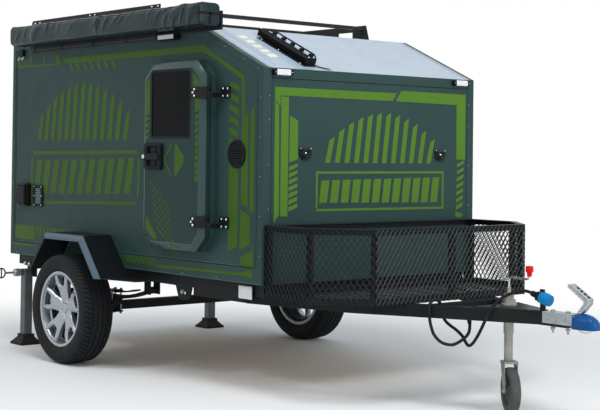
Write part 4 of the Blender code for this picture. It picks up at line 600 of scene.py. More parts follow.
# %% Diamond mesh for the walls and floor of the basket
def diamond_mesh(width, height, pitch=(0.030, 0.042), strand=0.0044, thickness=0.0018, tip=0.0017,
                 wanted=None):
    """Cells on a brick lattice: outer corners at half a pitch, inner ones nearer by the strand's width."""
    across, up = pitch
    columns, rows = max(1, round(width / across)), max(1, round(height / up))
    across, up = width / columns, height / rows
    whole = np.stack(np.meshgrid(np.arange(columns + 1), np.arange(rows + 1), indexing="ij"),
                     -1).reshape(-1, 2)
    half = np.stack(np.meshgrid(np.arange(columns) + 0.5, np.arange(rows) + 0.5, indexing="ij"),
                    -1).reshape(-1, 2)
    middles = np.concatenate([whole, half]) * (across, up)
    if wanted is not None:
        middles = middles[wanted(middles)]
    corner = np.array([(1, 0), (0, 1), (-1, 0), (0, -1)], float) * (across / 2, up / 2)
    hole = 1 - strand * math.hypot(across, up) / (across * up)
    points = np.clip(middles[:, None, :] + np.concatenate([corner, corner * hole])[None], (0, 0),
                     (width, height))
    count = len(middles)
    tipped = np.array([0, 0, 0, 0, 0, tip, 0, -tip]) + 0.0012
    both = np.stack([np.dstack([points, np.broadcast_to(tipped + level, (count, 8))])
                     for level in (0.0, thickness)], 1)
    k = np.arange(4)
    after = (k + 1) % 4
    lower = np.stack([k, k + 4, after + 4, after], 1)
    upper = np.stack([k + 8, after + 8, after + 12, k + 12], 1)
    walls = np.stack([k + 4, k + 12, after + 12, after + 4], 1)
    cell = np.concatenate([lower, upper, walls])
    faces = (cell[None] + 16 * np.arange(count)[:, None, None]).reshape(-1, 4)
    return both.reshape(-1, 3), faces


def wall_mesh(start, end, low, high):
    """The flat mesh stood on the line from start to end, its thickness to the left of that line."""
    start, end = np.array(start, float), np.array(end, float)
    length = np.linalg.norm(end - start)
    along = (end - start) / length
    inwards = np.array([-along[1], along[0]])
    flat, faces = diamond_mesh(length, high - low)
    plan = start + along * flat[:, :1] + inwards * (0.0042 - flat[:, 2:])
    return np.column_stack([plan, low + flat[:, 1]]), [faces]


BASKET_PLAN = np.array([(0.004, -0.740), (0.332, -0.740), (0.576, -0.529), (0.576, 0.529), (0.332, 0.740),
                        (0.004, 0.740)])
plan = BASKET_PLAN + (FRONT, 0)
MESH_LOW, MESH_HIGH = 0.4937, 0.8494
walls = [wall_mesh(a, b, MESH_LOW, MESH_HIGH) for a, b in zip(plan, plan[1:])]


def half_width(x):
    """Half width of the basket's floor at x before the body: straight, then cut away at the corners."""
    return np.interp(x, BASKET_PLAN[:3, 0], -BASKET_PLAN[:3, 1])


flat, flat_faces = diamond_mesh(0.572, 1.480,
                                wanted=lambda m: np.abs(m[:, 1] - 0.740) < half_width(m[:, 0] + 0.004))
flat += (0.004, -0.740, 0.0)
limit = half_width(flat[:, 0])
flat[:, 1] = np.clip(flat[:, 1], -limit, limit)
walls.append((flat + (FRONT, 0, MESH_LOW), [flat_faces]))
expanded = piece("expanded_metal", walls, mesh_coat, sharp=20)
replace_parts(expanded, "basket_mesh")
gussets = [round_box((FRONT - 0.008, side * 0.7205, 0.526), (0.023, 0.0385, 0.063), 0.001)
           for side in (-1, 1)]
piece("basket_gussets", gussets, black_coat)

# %% [markdown]
# ## The awning bag
# The awning is rolled up inside a long bag of coated fabric, laced to a rail on the right side. The
# bag is a box section with rounded corners carried along its length. Gravity hollows its top and
# bellies its underside between the laces, which also pull slanted folds across its outer side. Each
# fold is a ridge along a leaning line, added in the surface's own outward direction, and piping is
# sewn along the edges. The shape is computed rather than simulated, so it is the same every time.

# %% Awning bag: a sagging shell with slanted folds
BAG_BACK, BAG_FRONT_END = FRONT - 2.3195, FRONT - 0.3405
BAG_MIDDLE = (-(SIDE + 0.016 + 0.070), 1.907)
BAG_LENGTH = BAG_FRONT_END - BAG_BACK
HALF_OUT, HALF_UP, CORNER = 0.064, 0.0585, 0.026
LACE_PITCH = 0.485
shuffle = np.random.default_rng(11)


def box_section(half_out, half_up, corner, flat_steps=15, corner_steps=8):
    """Points and outward directions round a box with round corners, away from the wall first."""
    swing = np.linspace(0, np.pi / 2, corner_steps)
    points, outwards = [], []
    for k, (out, up) in enumerate(((1, 1), (-1, 1), (-1, -1), (1, -1))):
        angle = swing + k * np.pi / 2
        facing = np.column_stack([np.cos(angle), np.sin(angle)])
        points.append(np.array((out * (half_out - corner), up * (half_up - corner))) + corner * facing)
        outwards.append(facing)
        share = np.linspace(0, 1, flat_steps + 1)[1:-1, None]
        after = np.array(((-1, 1), (-1, -1), (1, -1), (1, 1))[k]) * (half_out - corner, half_up - corner)
        after = after + corner * facing[-1]
        points.append(points[-1][-1] * (1 - share) + after * share)
        outwards.append(np.repeat(facing[-1:], flat_steps - 1, axis=0))
    return np.concatenate(points), np.concatenate(outwards)


section, facing = box_section(HALF_OUT, HALF_UP, CORNER)
BAG_STEPS, BAG_ROUND = 900, len(section)
along = np.linspace(0, 1, BAG_STEPS)[:, None] * BAG_LENGTH
out, up = section[None, :, 0], section[None, :, 1]
outer_share = np.clip(out / HALF_OUT, 0, 1) ** 2
lift = np.zeros((BAG_STEPS, BAG_ROUND))
FOLDS = 52
places = np.concatenate([shuffle.uniform(0.05, 1.93, 30), 1.965 - np.abs(shuffle.normal(0, 0.26, 22))])
for place, lean, wide, high, middle, reach in zip(places, shuffle.uniform(0.35, 1.45, FOLDS),
                                                  shuffle.uniform(0.008, 0.030, FOLDS),
                                                  shuffle.uniform(0.001, 0.005, FOLDS),
                                                  shuffle.uniform(-0.015, 0.050, FOLDS),
                                                  shuffle.uniform(0.018, 0.046, FOLDS)):
    aside = along - place - lean * up - 3.0 * up ** 2 * (lean - 0.5)
    long_side = np.exp(-(np.sqrt((aside / wide) ** 2 + 0.02) - 0.14))
    steep_side = np.exp(-(aside / (0.55 * wide)) ** 2)
    ridge = long_side * (aside < 0) + steep_side * (aside >= 0)
    lift += high * ridge * np.exp(-((up - middle) / reach) ** 2) * (0.15 + outer_share)
belly = 0.004 * (1 - (up / HALF_UP) ** 2) * outer_share
swell = 0.0014 * np.sin(along * 9.0 + 0.7) * np.cos(up * 22) + 0.001 * np.sin(along * 17.0 + 2.0)
droop = 0.002 * (1 - np.cos(along * 2 * np.pi / LACE_PITCH)) / 2
near_end = np.minimum(along, BAG_LENGTH - along)
settle_ends = 1 - np.exp(-near_end / 0.012)
lift = (lift * 1.1 - 0.001 + belly + swell * (0.3 + outer_share)) * settle_ends
lift += np.where(up > 0.04, -droop * 0.8, 0.0) + np.where(up < -0.04, droop, 0.0)
lift = np.clip(lift, -0.006, 0.009)
puckered = 1 - 0.030 * np.exp(-near_end / 0.004)
bag_points = np.stack([np.broadcast_to(BAG_BACK + along, lift.shape),
                       BAG_MIDDLE[0] - (out * puckered + lift * facing[None, :, 0]),
                       BAG_MIDDLE[1] + up * puckered + lift * facing[None, :, 1]], -1)


def end_cap(ring, bulge, rings=9):
    """The end ring drawn in to its middle in steps, bulging outwards like a pillow's end."""
    middle = ring.mean(axis=0)
    share = np.linspace(1, 0, rings)[:, None, None]
    points = middle + (ring[None] - middle) * share
    points[..., 0] += bulge * (1 - share[..., 0] ** 2.5)
    return points


whole = np.concatenate([end_cap(bag_points[0], -0.0035)[::-1], bag_points[1:-1],
                        end_cap(bag_points[-1], 0.0035)])
bag_shape = outward((whole.reshape(-1, 3), [grid_faces(len(whole), BAG_ROUND, wrap_columns=True)]))

print("bag:", BAG_STEPS, "by", BAG_ROUND, "points, raised at most", round(float(lift.max()) * 1000, 1), "mm")

# %% Coated fabric, piping and webbing for the bag
bag_fabric = surface("bag_fabric", (20, 41, 45), 0.28, drift=0.12, drift_scale=5, grain=0.08,
                     grain_depth=0.0002, mirror=0.20)
webbing = surface("webbing", (12, 13, 14), 0.7, drift=0.12, drift_scale=20, grain=0.6, grain_scale=1300,
                  Sheen_Weight=0.2, Sheen_Roughness=0.5)
bag = piece("awning_bag_shell", [bag_shape], bag_fabric, sharp=60)
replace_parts(bag, "awning_bag")

outer_corners = (3, 3 + 3 * BAG_ROUND // 4)    # upper and lower, among the section's points
piping = [bar(bag_points[6:-6:4, row] + (0, -0.0004, 0.0004), 0.0016, 8) for row in outer_corners]
for ring in (bag_points[5], bag_points[-6]):
    middle = ring.mean(axis=0)
    edge = middle + (ring - middle) * 1.004
    piping.append(bar(np.concatenate([edge, edge[:2]]), 0.0017, 8))
front_face = BAG_FRONT_END + 0.0036
for low, high, left, right in ((-0.006, 0.006, -0.062, 0.066), (-0.052, 0.004, -0.008, 0.008)):
    shape = plate(rectangle(left, right, low, high), front_face, front_face + 0.0015, "front", 0.0004)
    piping.append((shape[0] + (0, BAG_MIDDLE[0], BAG_MIDDLE[1] + 0.004), shape[1]))
tab = plate(rectangle(-0.048, 0.012, -0.006, 0.006), 0.0702, 0.0717, "right", 0.0004)
piping.append((tab[0] + (BAG_FRONT_END - 0.012, BAG_MIDDLE[0], BAG_MIDDLE[1] + 0.004), tab[1]))
piece("bag_piping", piping, webbing)

# %% [markdown]
# ## Fittings under the awning
# A light strip runs under the rail in five clips, and a flat work lamp hangs before it. Their black
# housing is the rail's solid. The strip's diffuser is one bent profile, and the lamp's lens has three
# rows of small domes. Two bent hooks for the awning's pole hang from a block near the tail.

# %% Light strip, work lamp and pole latch
diffuser = surface("strip_diffuser", (60, 60, 59), 0.45, drift_scale=12, grain=0.2, grain_scale=500)
rail_face = SIDE + 0.0033
strip_path = np.linspace((FRONT - 2.296, 0, 0), (FRONT - 0.897, 0, 0), 2)
strip_ring = np.array([(0, -0.0068, -0.0095), (0, 0.002, -0.0122), (0, 0.0105, -0.0104), (0, 0.0124, -0.005),
                       (0, 0.0124, 0.0015), (0, -0.0068, 0.0015)]) * (1, -1, 1) + (0, -rail_face, 1.828)
piece("strip_diffuser", [loft(strip_path[:, None] + strip_ring[None])], diffuser)

clips = []
for x in (-2.262, -1.927, -1.576, -1.226, -0.925):
    clips.append(round_box((FRONT + x, -rail_face - 0.007, 1.830), (0.016, 0.030, 0.0155), 0.002, "right"))
lamp_middle = (FRONT - 0.810, -(rail_face + 0.028), 1.8215)
lamp_out = rounded(0.170, 0.034, 0.004, (lamp_middle[0], lamp_middle[2]))
lamp_in = rounded(0.150, 0.0235, 0.002, (lamp_middle[0], lamp_middle[2]))
clips.append(ring_plate(lamp_out, lamp_in, rail_face + 0.0275, rail_face + 0.0325, "right"))
clips += [round_box((lamp_middle[0] + end * 0.0885, -rail_face - 0.010, 1.826), (0.008, 0.040, 0.020), 0.0015,
                    "right") for end in (-1, 1)]
clips.append(round_box((FRONT - 2.432, -rail_face - 0.009, 1.818), (0.062, 0.046, 0.018), 0.004, "right"))
piece("rail_clips", clips, moulded_black)

lens = [plate(lamp_in, rail_face + 0.0283, rail_face + 0.030, "right", 0.0006)]
for row in (-0.0065, 0.0005, 0.007):
    for step in range(16):
        lens.append(dome_head((lamp_middle[0] - 0.069 + 0.0092 * step, -rail_face - 0.0299, 1.8215 + row),
                              0.0031, 0.0018, (0, -1, 0), 8))
piece("work_lamp_lens", lens, clear_lens)

hooks = []
for x in (-2.456, -2.412):
    loop = [(FRONT + x - 0.008, -rail_face - 0.004, 1.800), (FRONT + x - 0.006, -rail_face - 0.012, 1.784),
            (FRONT + x, -rail_face - 0.018, 1.774), (FRONT + x + 0.008, -rail_face - 0.014, 1.780),
            (FRONT + x + 0.011, -rail_face - 0.006, 1.796)]
    hooks.append(bar(smooth_curve(loop, 5), 0.0022, 10))
piece("pole_hooks", hooks, bright_steel)

# %% [markdown]
# ## The tyres
# A tyre is a turned profile with its tread cut in: four grooves round it, slanted slots across the
# shoulders and ribs, and fine lines moulded into the sidewall. The grid's columns are set at the
# groove edges, so the walls of each groove are steep, and its rows lean with the slots.

# %% Tyre surface with a cut tread
def tyre_shape(side):
    """Radius by turn and place across: the moulded profile less the depth of the grooves there."""
    outer = HUB_HEIGHT
    grooves = np.array([-0.046, -0.0165, 0.0165, 0.046])
    edges = np.sort(np.concatenate([grooves - 0.0045, grooves - 0.003, grooves + 0.003, grooves + 0.0045]))
    crown = np.sort(np.concatenate([edges, [-0.074, -0.066, -0.058, -0.037, -0.029, -0.008, 0.0, 0.008, 0.029,
                                            0.037, 0.058, 0.066, 0.074]]))
    crown_radius = outer - 0.0045 * (np.abs(crown) / 0.074) ** 2.5
    wall_across = np.array([0.0795, 0.085, 0.0895, 0.0925, 0.094, 0.0948, 0.095, 0.0946, 0.0935, 0.0925,
                            0.0918, 0.0895, 0.0865, 0.083, 0.079, 0.0765])
    wall_radius = np.array([0.3035, 0.300, 0.2945, 0.288, 0.2805, 0.272, 0.262, 0.252, 0.244, 0.240, 0.235,
                            0.228, 0.2215, 0.217, 0.2145, 0.204])
    across = np.concatenate([-wall_across[::-1], crown, wall_across])
    radius = np.concatenate([wall_radius[::-1], crown_radius, wall_radius])
    pitches, steps = 70, 8
    turn_steps = pitches * steps
    turn = np.arange(turn_steps) * 2 * np.pi / turn_steps
    lean = np.sign(across) * np.clip(np.abs(across) - 0.0045, 0, 0.08) * 1.1 + 0.25 * across
    angle = turn[:, None] + lean[None, :]
    phase = (np.arange(turn_steps) % steps)[:, None]
    slot = (phase < 3) & (phase > 0)
    from_middle = np.abs(across)
    depth_there = np.where(from_middle > 0.050, 0.0065, np.where(from_middle > 0.0195, 0.003, 0.0012))
    slot_depth = slot * (depth_there * (from_middle < 0.086))[None, :]
    around = np.any(np.abs(across[:, None] - grooves[None]) <= 0.0031, axis=1)
    ring_depth = np.where(around, 0.0075, 0.0)[None, :]
    ribbed = (from_middle > 0.093) & (radius > 0.262) & (radius < 0.283)
    ribs = 0.0009 * (np.cos(angle * 180) > 0.2) * ribbed[None, :]
    r = radius[None, :] - np.maximum(slot_depth, ring_depth)
    y = side * TRACK + side * (across[None, :] + np.sign(across)[None, :] * ribs)
    points = np.stack([WHEEL_X + r * np.cos(angle), np.broadcast_to(y, r.shape),
                       HUB_HEIGHT + r * np.sin(angle)], -1)
    points[..., 2] = np.maximum(points[..., 2], 0.0)
    return outward((points.reshape(-1, 3), [grid_faces(turn_steps, len(across), True, True)]))


tyre_rubber = surface("tyre_rubber", (35, 36, 38), 0.62, drift=0.14, drift_scale=9, gloss_change=0.10,
                      grain=0.35, grain_scale=700, grain_depth=0.0005)
for label, side in SIDES:
    tyre = piece("tyre_tread_" + label, [tyre_shape(side)], tyre_rubber, "wheel_" + label, sharp=30)
    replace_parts(tyre, "tyre_" + label)

# %% [markdown]
# ## The cast wheels
# The wheel has a turned barrel and five broad arms that fork near the rim. Each arm is drawn flat, as
# a ring between its own outline and the pocket in its fork, with wide ground edges that catch the
# light. Its face then rises with the distance from the hub, so the wheel is dished as in the photo.

# %% Barrel, arms, hub and bolts
ARM_OUTLINE = np.array([(0.024, 0.000), (0.026, 0.022), (0.056, 0.0405), (0.082, 0.041), (0.106, 0.0455),
                        (0.138, 0.059), (0.1888, 0.066), (0.1965, 0.036), (0.200, 0.000)])
ARM_POCKET = np.array([(0.132, 0.000), (0.132, 0.008), (0.132, 0.015), (0.134, 0.0205), (0.140, 0.026),
                       (0.155, 0.0325), (0.184, 0.043), (0.188, 0.022), (0.190, 0.000)])


def both_halves(half):
    """The half outline followed by its mirror image, back to the start."""
    return np.concatenate([half, half[-2:0:-1] * (1, -1)])


def wheel_arm(side, angle):
    """The flat arm at its angle, each point moved out by a smooth step of its distance from the hub."""
    flat, faces = ring_plate(both_halves(ARM_OUTLINE), both_halves(ARM_POCKET), 0.018, 0.048, "top", 0.0065)
    share = np.clip((np.hypot(flat[:, 0], flat[:, 1]) - 0.045) / 0.150, 0, 1)
    out = flat[:, 2] + 0.028 * share ** 2 * (3 - 2 * share)
    ahead = flat[:, 0] * math.cos(angle) - flat[:, 1] * math.sin(angle)
    above = flat[:, 0] * math.sin(angle) + flat[:, 1] * math.cos(angle)
    return outward((np.column_stack([WHEEL_X + ahead, side * (TRACK + out), HUB_HEIGHT + above]), faces))


for label, side in SIDES:
    centre = np.array((WHEEL_X, side * TRACK, HUB_HEIGHT))
    axis = (0, side, 0)
    barrel = turned([(0.203, -0.076), (0.214, -0.076), (0.214, -0.082), (0.196, -0.083), (0.190, -0.060),
                     (0.182, -0.030), (0.182, 0.026), (0.189, 0.034), (0.1925, 0.058), (0.1975, 0.080),
                     (0.205, 0.0835), (0.2125, 0.0832), (0.214, 0.0815), (0.214, 0.0765), (0.203, 0.076),
                     (0.201, 0.060), (0.199, 0.0), (0.201, -0.060)], centre, axis, 96)
    arms = [wheel_arm(side, math.radians(92 + 72 * k)) for k in range(5)]
    hub = turned([(0, 0.010), (0.062, 0.010), (0.062, 0.034), (0.056, 0.0415), (0.040, 0.043),
                  (0.0345, 0.0415), (0.033, 0.036), (0, 0.036)], centre, axis, 60)
    wheel = piece("wheel_casting_" + label, [barrel, hub] + arms, wheel_lacquer,
                  "wheel_" + label, sharp=30)
    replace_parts(wheel, "rim_" + label)
    # A dark sheet inside the barrel: painted shade where the barrel's inside lies in shadow.
    barrel_shade_sheet = turned([(0.1806, -0.060), (0.1812, -0.030), (0.1812, 0.024), (0.180, 0.024), (0.180, -0.030),
                    (0.1794, -0.060)], centre, axis, 96)
    piece("wheel_barrel_painted_shade_" + label, [barrel_shade_sheet], wheel_shadow, "wheel_" + label)
    cap = turned([(0, 0.030), (0.0315, 0.030), (0.0315, 0.043), (0.0285, 0.0475), (0.020, 0.0492),
                  (0, 0.0498)], centre, axis, 40)
    piece("hub_cap_" + label, [cap], wheel_lacquer, "wheel_" + label)
    nuts = []
    for k in range(5):
        angle = math.radians(92 + 36 + 72 * k)
        place = centre + np.array((0.050 * math.cos(angle), side * 0.040, 0.050 * math.sin(angle)))
        nuts.append(hex_head(place, 0.0085, 0.009, axis))
    piece("wheel_bolts_" + label, nuts, bright_steel, "wheel_" + label)
    valve = bar([centre + (0.150, side * 0.060, 0.105), centre + (0.146, side * 0.092, 0.102)], 0.0035, 10)
    piece("tyre_valve_" + label, [valve], rubber_black, "wheel_" + label)
    drum = turned([(0.030, -0.030), (0.112, -0.030), (0.116, -0.024), (0.116, 0.004), (0.110, 0.009),
                   (0.030, 0.009)], centre, axis, 48)
    piece("brake_drum_" + label, [drum], drum_iron, "wheel_" + label)
print("wheel:", len(arms), "arms,", len(wheel.data.polygons), "faces")

# %% [markdown]
# ## Fenders and running gear
# The fenders are folded sheet. Their slanted outer border catches the light, and that highlight is
# painted as a pale steel-blue thin skin over the top and front of the fold; the rear of the fold keeps
# the plain coat. Below, the leaf springs have a second leaf, clips, U-bolts and a clamp plate under
# the axle, and the jacking brackets on the rail carry one bright bolt each.

# %% Painted highlight on the fenders' slanted border
FENDER_OUT, FENDER_FOLD = 0.955, 0.020


def fender_line(inset, foot=0.5075):
    """Outline of the fender, drawn in by inset: up the rear slope, over the top and down the front."""
    rise, run = 0.227, 0.191
    slant = math.hypot(rise, run)
    top_half = 0.204 - inset * (slant - run) / rise
    base_half = 0.395 - inset * slant / rise - (foot - 0.507) * run / rise
    return np.array([(-base_half, foot), (-top_half, 0.734 - inset), (top_half, 0.734 - inset),
                     (base_half, foot)])


for label, side in SIDES:
    lines = []
    for inset, out in ((0.0005, FENDER_OUT - FENDER_FOLD + 0.0005), (FENDER_FOLD, FENDER_OUT),
                       (0.0335, FENDER_OUT)):
        line = fender_line(inset)[1:]
        lines.append(np.column_stack([WHEEL_X + line[:, 0], np.full(3, side * out), line[:, 1]]))
    rear = []
    for inset, out in ((FENDER_FOLD, FENDER_OUT), (0.0335, FENDER_OUT)):
        line = fender_line(inset)[:2]
        rear.append(np.column_stack([WHEEL_X + line[:, 0], np.full(2, side * out), line[:, 1]]))
    turn = 1 if side < 0 else -1
    border = skin(np.array(lines)[:, ::turn], 0.0003, 0.0008)
    piece("fender_border_" + label, [border], fender_fold_highlight, sharp=15)
    piece("fender_rear_lip_" + label, [skin(np.array(rear)[:, ::turn], 0.0003, 0.0008)],
          fender_coat)

# %% Second leaf, U-bolts, clamp plates and bracket bolts
SPRING_OUT, SPRING_HALF_SPAN, LEAF_HALF, LEAF_THICK = 0.600, 0.400, 0.0245, 0.009
for label, side in SIDES:
    middle = side * SPRING_OUT
    share = np.linspace(-0.62, 0.62, 25)
    underside = 0.388 + 0.065 * share ** 2
    rings = [[(x, middle - LEAF_HALF, low), (x, middle + LEAF_HALF, low),
              (x, middle + LEAF_HALF, low + LEAF_THICK), (x, middle - LEAF_HALF, low + LEAF_THICK)]
             for x, low in zip(WHEEL_X + SPRING_HALF_SPAN * share, underside)]
    gear = [loft(rings), round_box((WHEEL_X, middle, 0.398), (0.110, 0.062, 0.008), 0.001),
            round_box((WHEEL_X, middle, 0.2795), (0.110, 0.066, 0.008), 0.001)]
    piece("spring_leaf_" + label, gear, black_coat)
    bolts = []
    for end in (-1, 1):
        for cheek in (-1, 1):
            x, y = WHEEL_X + end * 0.0305, middle + cheek * 0.030
            bolts.append(bar([(x, y, 0.262), (x, y, 0.404)], 0.005, 12))
            bolts.append(hex_head((x, y, 0.2745), 0.0085, 0.008, (0, 0, -1)))
            bolts.append(hex_head((x, y, 0.403), 0.0085, 0.008, (0, 0, 1)))
        for eye in (-1, 1):
            place = (WHEEL_X + end * SPRING_HALF_SPAN, middle + eye * 0.0262, 0.430)
            bolts.append(hex_head(place, 0.0085, 0.006, (0, eye, 0)))
    bolts.append(hex_head((FRONT - 0.745, side * 0.6985, 0.462), 0.0095, 0.008, (0, side, 0)))
    piece("spring_bolts_" + label, bolts, zinc)

# %% [markdown]
# ## Vinyl stripes
# The stripes on the walls are cut vinyl film. Each is an outline with a film's thickness, laid just
# over the paint, so its edge catches light as film does. The same outlines serve both sides. Where
# the real trailer carries words and a picture, there are only plain slanted bars.

# %% Film outlines on the walls and doors
FILM = 0.0006
OVER_WALL, OVER_RAISED = SIDE + 0.0003, SIDE + 0.0033
OVER_DOOR, OVER_FRONT = DOOR_FACE + 0.0003, FRONT + 0.0003


def film(outline, surface_height, plane):
    """The outline, its x measured from the front face on the side walls, as a thin plate over its surface."""
    moved = np.asarray(outline, float) + ((0.0, 0.0) if plane == "front" else (FRONT, 0.0))
    return plate(moved, surface_height, surface_height + FILM, plane)


def slanted_row(first, last, count):
    """Equal copies of a four-cornered bar, spaced evenly from the first to the last."""
    share = np.linspace(0, 1, count)[:, None, None]
    return list(np.asarray(first, float)[None] * (1 - share) + np.asarray(last, float)[None] * share)


WALL_STRIPES = [
    [(-2.498, 1.742), (-1.956, 1.734), (-1.951, 1.725), (-2.498, 1.725)],
    [(-2.500, 1.785), (-2.471, 1.782), (-2.471, 1.7425), (-2.500, 1.7425)],
    [(-2.337, 1.787), (-2.315, 1.787), (-2.315, 1.740), (-2.337, 1.740)],
    [(-2.175, 1.788), (-2.154, 1.788), (-2.154, 1.738), (-2.175, 1.738)],
    [(-2.023, 1.789), (-1.990, 1.790), (-1.958, 1.736), (-2.023, 1.736)],
    [(-1.939, 1.763), (-0.500, 1.766), (-0.409, 1.711), (-0.409, 1.686), (-0.515, 1.729), (-1.927, 1.729)],
    [(-0.407, 1.711), (-0.155, 1.592), (-0.151, 1.392), (-0.173, 1.392), (-0.177, 1.573), (-0.407, 1.688)],
    [(-0.273, 1.571), (-0.197, 1.543), (-0.198, 1.510), (-0.276, 1.541)],
    [(-0.275, 1.511), (-0.198, 1.484), (-0.199, 1.452), (-0.277, 1.481)],
    [(-0.276, 1.454), (-0.199, 1.427), (-0.200, 1.393), (-0.277, 1.423)],
    [(-0.277, 1.396), (-0.200, 1.368), (-0.201, 1.337), (-0.278, 1.364)],
    [(-0.278, 1.339), (-0.201, 1.311), (-0.202, 1.280), (-0.277, 1.304)],
    [(-0.279, 1.283), (-0.199, 1.258), (-0.199, 0.736), (-0.277, 0.709)],
    [(-0.148, 1.389), (-0.121, 1.410), (-0.118, 0.933), (-0.175, 0.952), (-0.175, 1.283), (-0.169, 1.390)],
    [(-0.103, 1.413), (-0.071, 1.432), (-0.071, 0.907), (-0.105, 0.921)],
    [(-0.179, 0.924), (-0.098, 0.893), (-0.098, 0.751), (-0.181, 0.718)],
    [(-0.174, 0.688), (-0.073, 0.728), (-0.073, 0.638), (-0.174, 0.638)],
    [(-2.503, 0.744), (-2.248, 0.744), (-2.248, 0.658), (-2.503, 0.658)],
]
SILL_STRIPES = [
    [(-2.513, 0.630), (-2.245, 0.628), (-2.232, 0.615), (-2.512, 0.615)],
    [(-0.911, 0.600), (-0.176, 0.610), (-0.072, 0.634), (-0.072, 0.586), (-0.176, 0.594), (-0.910, 0.584)],
]
WALL_STRIPES += slanted_row([(-1.872, 1.727), (-1.838, 1.727), (-1.806, 1.680), (-1.838, 1.680)],
                            [(-1.408, 1.726), (-1.372, 1.726), (-1.340, 1.680), (-1.374, 1.680)], 7)
WALL_STRIPES += slanted_row([(-2.236, 0.744), (-2.206, 0.744), (-2.215, 0.684), (-2.236, 0.684)],
                            [(-1.930, 0.744), (-1.900, 0.744), (-1.890, 0.714), (-1.918, 0.714)], 8)
SILL_STRIPES += slanted_row([(-1.236, 0.632), (-1.206, 0.632), (-1.178, 0.592), (-1.206, 0.592)],
                            [(-0.958, 0.632), (-0.930, 0.632), (-0.902, 0.592), (-0.930, 0.592)], 8)
FRAME_BARS = [
    [(-2.286, 1.204), (-1.120, 1.216), (-1.098, 1.196), (-2.268, 1.184)],
    [(-2.302, 1.190), (-2.280, 1.172), (-2.283, 0.905), (-2.304, 0.884)],
    [(-2.290, 0.880), (-1.140, 0.912), (-1.118, 0.930), (-2.270, 0.900)],
    [(-1.108, 1.186), (-1.088, 1.166), (-1.092, 0.962), (-1.112, 0.942)],
]
FRAME_BARS += slanted_row([(-2.225, 1.150), (-2.160, 1.151), (-2.205, 0.945), (-2.270, 0.943)],
                          [(-1.205, 1.172), (-1.140, 1.173), (-1.185, 0.972), (-1.250, 0.970)], 11)
bar_tops = 1.36 + 0.26 * np.sin(np.linspace(0.25, np.pi - 0.25, 13)) ** 0.8
for middle, high in zip(np.linspace(-2.18, -1.22, 13), bar_tops):
    FRAME_BARS.append([(middle - 0.050, 1.270), (middle - 0.004, 1.271), (middle + 0.030, high),
                       (middle - 0.016, high - 0.03)])

DOOR_STRIPES = [
    [(-0.884, 1.610), (-0.881, 1.411), (-0.922, 1.400), (-0.921, 1.574)],
    [(-0.491, 1.617), (-0.436, 1.572), (-0.436, 1.423), (-0.465, 1.411)],
    [(-0.645, 1.247), (-0.628, 1.247), (-0.561, 1.186), (-0.564, 1.150), (-0.630, 1.082), (-0.645, 1.082)],
    [(-0.672, 1.247), (-0.660, 1.247), (-0.725, 1.183), (-0.725, 1.150), (-0.664, 1.082), (-0.677, 1.082),
     (-0.738, 1.148), (-0.738, 1.186)],
    [(-0.902, 0.868), (-0.792, 0.747), (-0.837, 0.744), (-0.907, 0.801)],
]
DOOR_STRIPES += slanted_row([(-0.466, 1.396), (-0.438, 1.408), (-0.438, 1.386), (-0.466, 1.374)],
                            [(-0.463, 1.080), (-0.436, 1.092), (-0.436, 1.064), (-0.463, 1.054)], 10)
DOOR_STRIPES += slanted_row([(-0.922, 1.390), (-0.882, 1.400), (-0.882, 1.380), (-0.922, 1.368)],
                            [(-0.922, 1.290), (-0.884, 1.300), (-0.900, 1.272), (-0.922, 1.264)], 4)
DOOR_DASHES = [film_line for row in range(7) for film_line in slanted_row(
    [(-0.868 + 0.010 * row, 1.058 - 0.040 * row), (-0.846 + 0.010 * row, 1.040 - 0.040 * row),
     (-0.846 + 0.010 * row, 1.030 - 0.040 * row), (-0.868 + 0.010 * row, 1.048 - 0.040 * row)],
    [(-0.716 + 0.010 * row, 0.936 - 0.036 * row), (-0.694 + 0.010 * row, 0.918 - 0.036 * row),
     (-0.694 + 0.010 * row, 0.908 - 0.036 * row), (-0.716 + 0.010 * row, 0.926 - 0.036 * row)], 6)]

for label in ("right", "left"):
    shapes = [film(outline, OVER_WALL, label) for outline in WALL_STRIPES + FRAME_BARS]
    shapes += [film(outline, OVER_RAISED, label) for outline in SILL_STRIPES]
    piece("wall_stripes_" + label, shapes, vinyl_side_painted_shade)
    shapes = [film(outline, OVER_DOOR, label) for outline in DOOR_STRIPES]
    piece("door_stripes_" + label, shapes, vinyl_side_painted_shade, "door_leaf_" + label)
    shapes = [film(outline, OVER_DOOR, label) for outline in DOOR_DASHES]
    piece("door_dashes_" + label, shapes, vinyl_side_painted_shade, "door_leaf_" + label)

# %% Film outlines on the front wall
FRONT_STRIPES = [
    [(-0.681, 1.534), (0.154, 1.534), (0.123, 1.491), (-0.646, 1.493), (-0.646, 1.440), (-0.681, 1.470)],
    [(0.187, 1.548), (0.688, 1.546), (0.688, 1.184), (0.617, 1.184), (0.615, 1.486), (0.146, 1.491)],
    [(-0.681, 1.465), (-0.654, 1.440), (-0.649, 0.901), (-0.681, 0.862)],
    [(-0.641, 1.488), (-0.592, 1.487), (-0.594, 0.893), (-0.641, 0.895)],
    [(-0.584, 1.394), (-0.531, 1.371), (-0.530, 1.177), (-0.586, 1.161)],
    [(0.611, 0.898), (0.674, 0.880), (0.652, 0.861), (0.614, 0.868)],
    [(-0.409, 1.117), (0.517, 1.119), (0.517, 0.913), (-0.406, 0.915), (-0.406, 0.927), (0.503, 0.925),
     (0.503, 1.107), (-0.397, 1.105), (-0.397, 0.930), (-0.409, 0.930)],
]
FRONT_STRIPES += slanted_row([(-0.586, 1.141), (-0.531, 1.156), (-0.531, 1.140), (-0.586, 1.119)],
                             [(-0.589, 0.938), (-0.531, 0.958), (-0.531, 0.937), (-0.589, 0.916)], 7)
FRONT_STRIPES += slanted_row([(0.624, 1.158), (0.679, 1.180), (0.679, 1.163), (0.624, 1.140)],
                             [(0.616, 0.926), (0.671, 0.949), (0.668, 0.925), (0.616, 0.905)], 7)
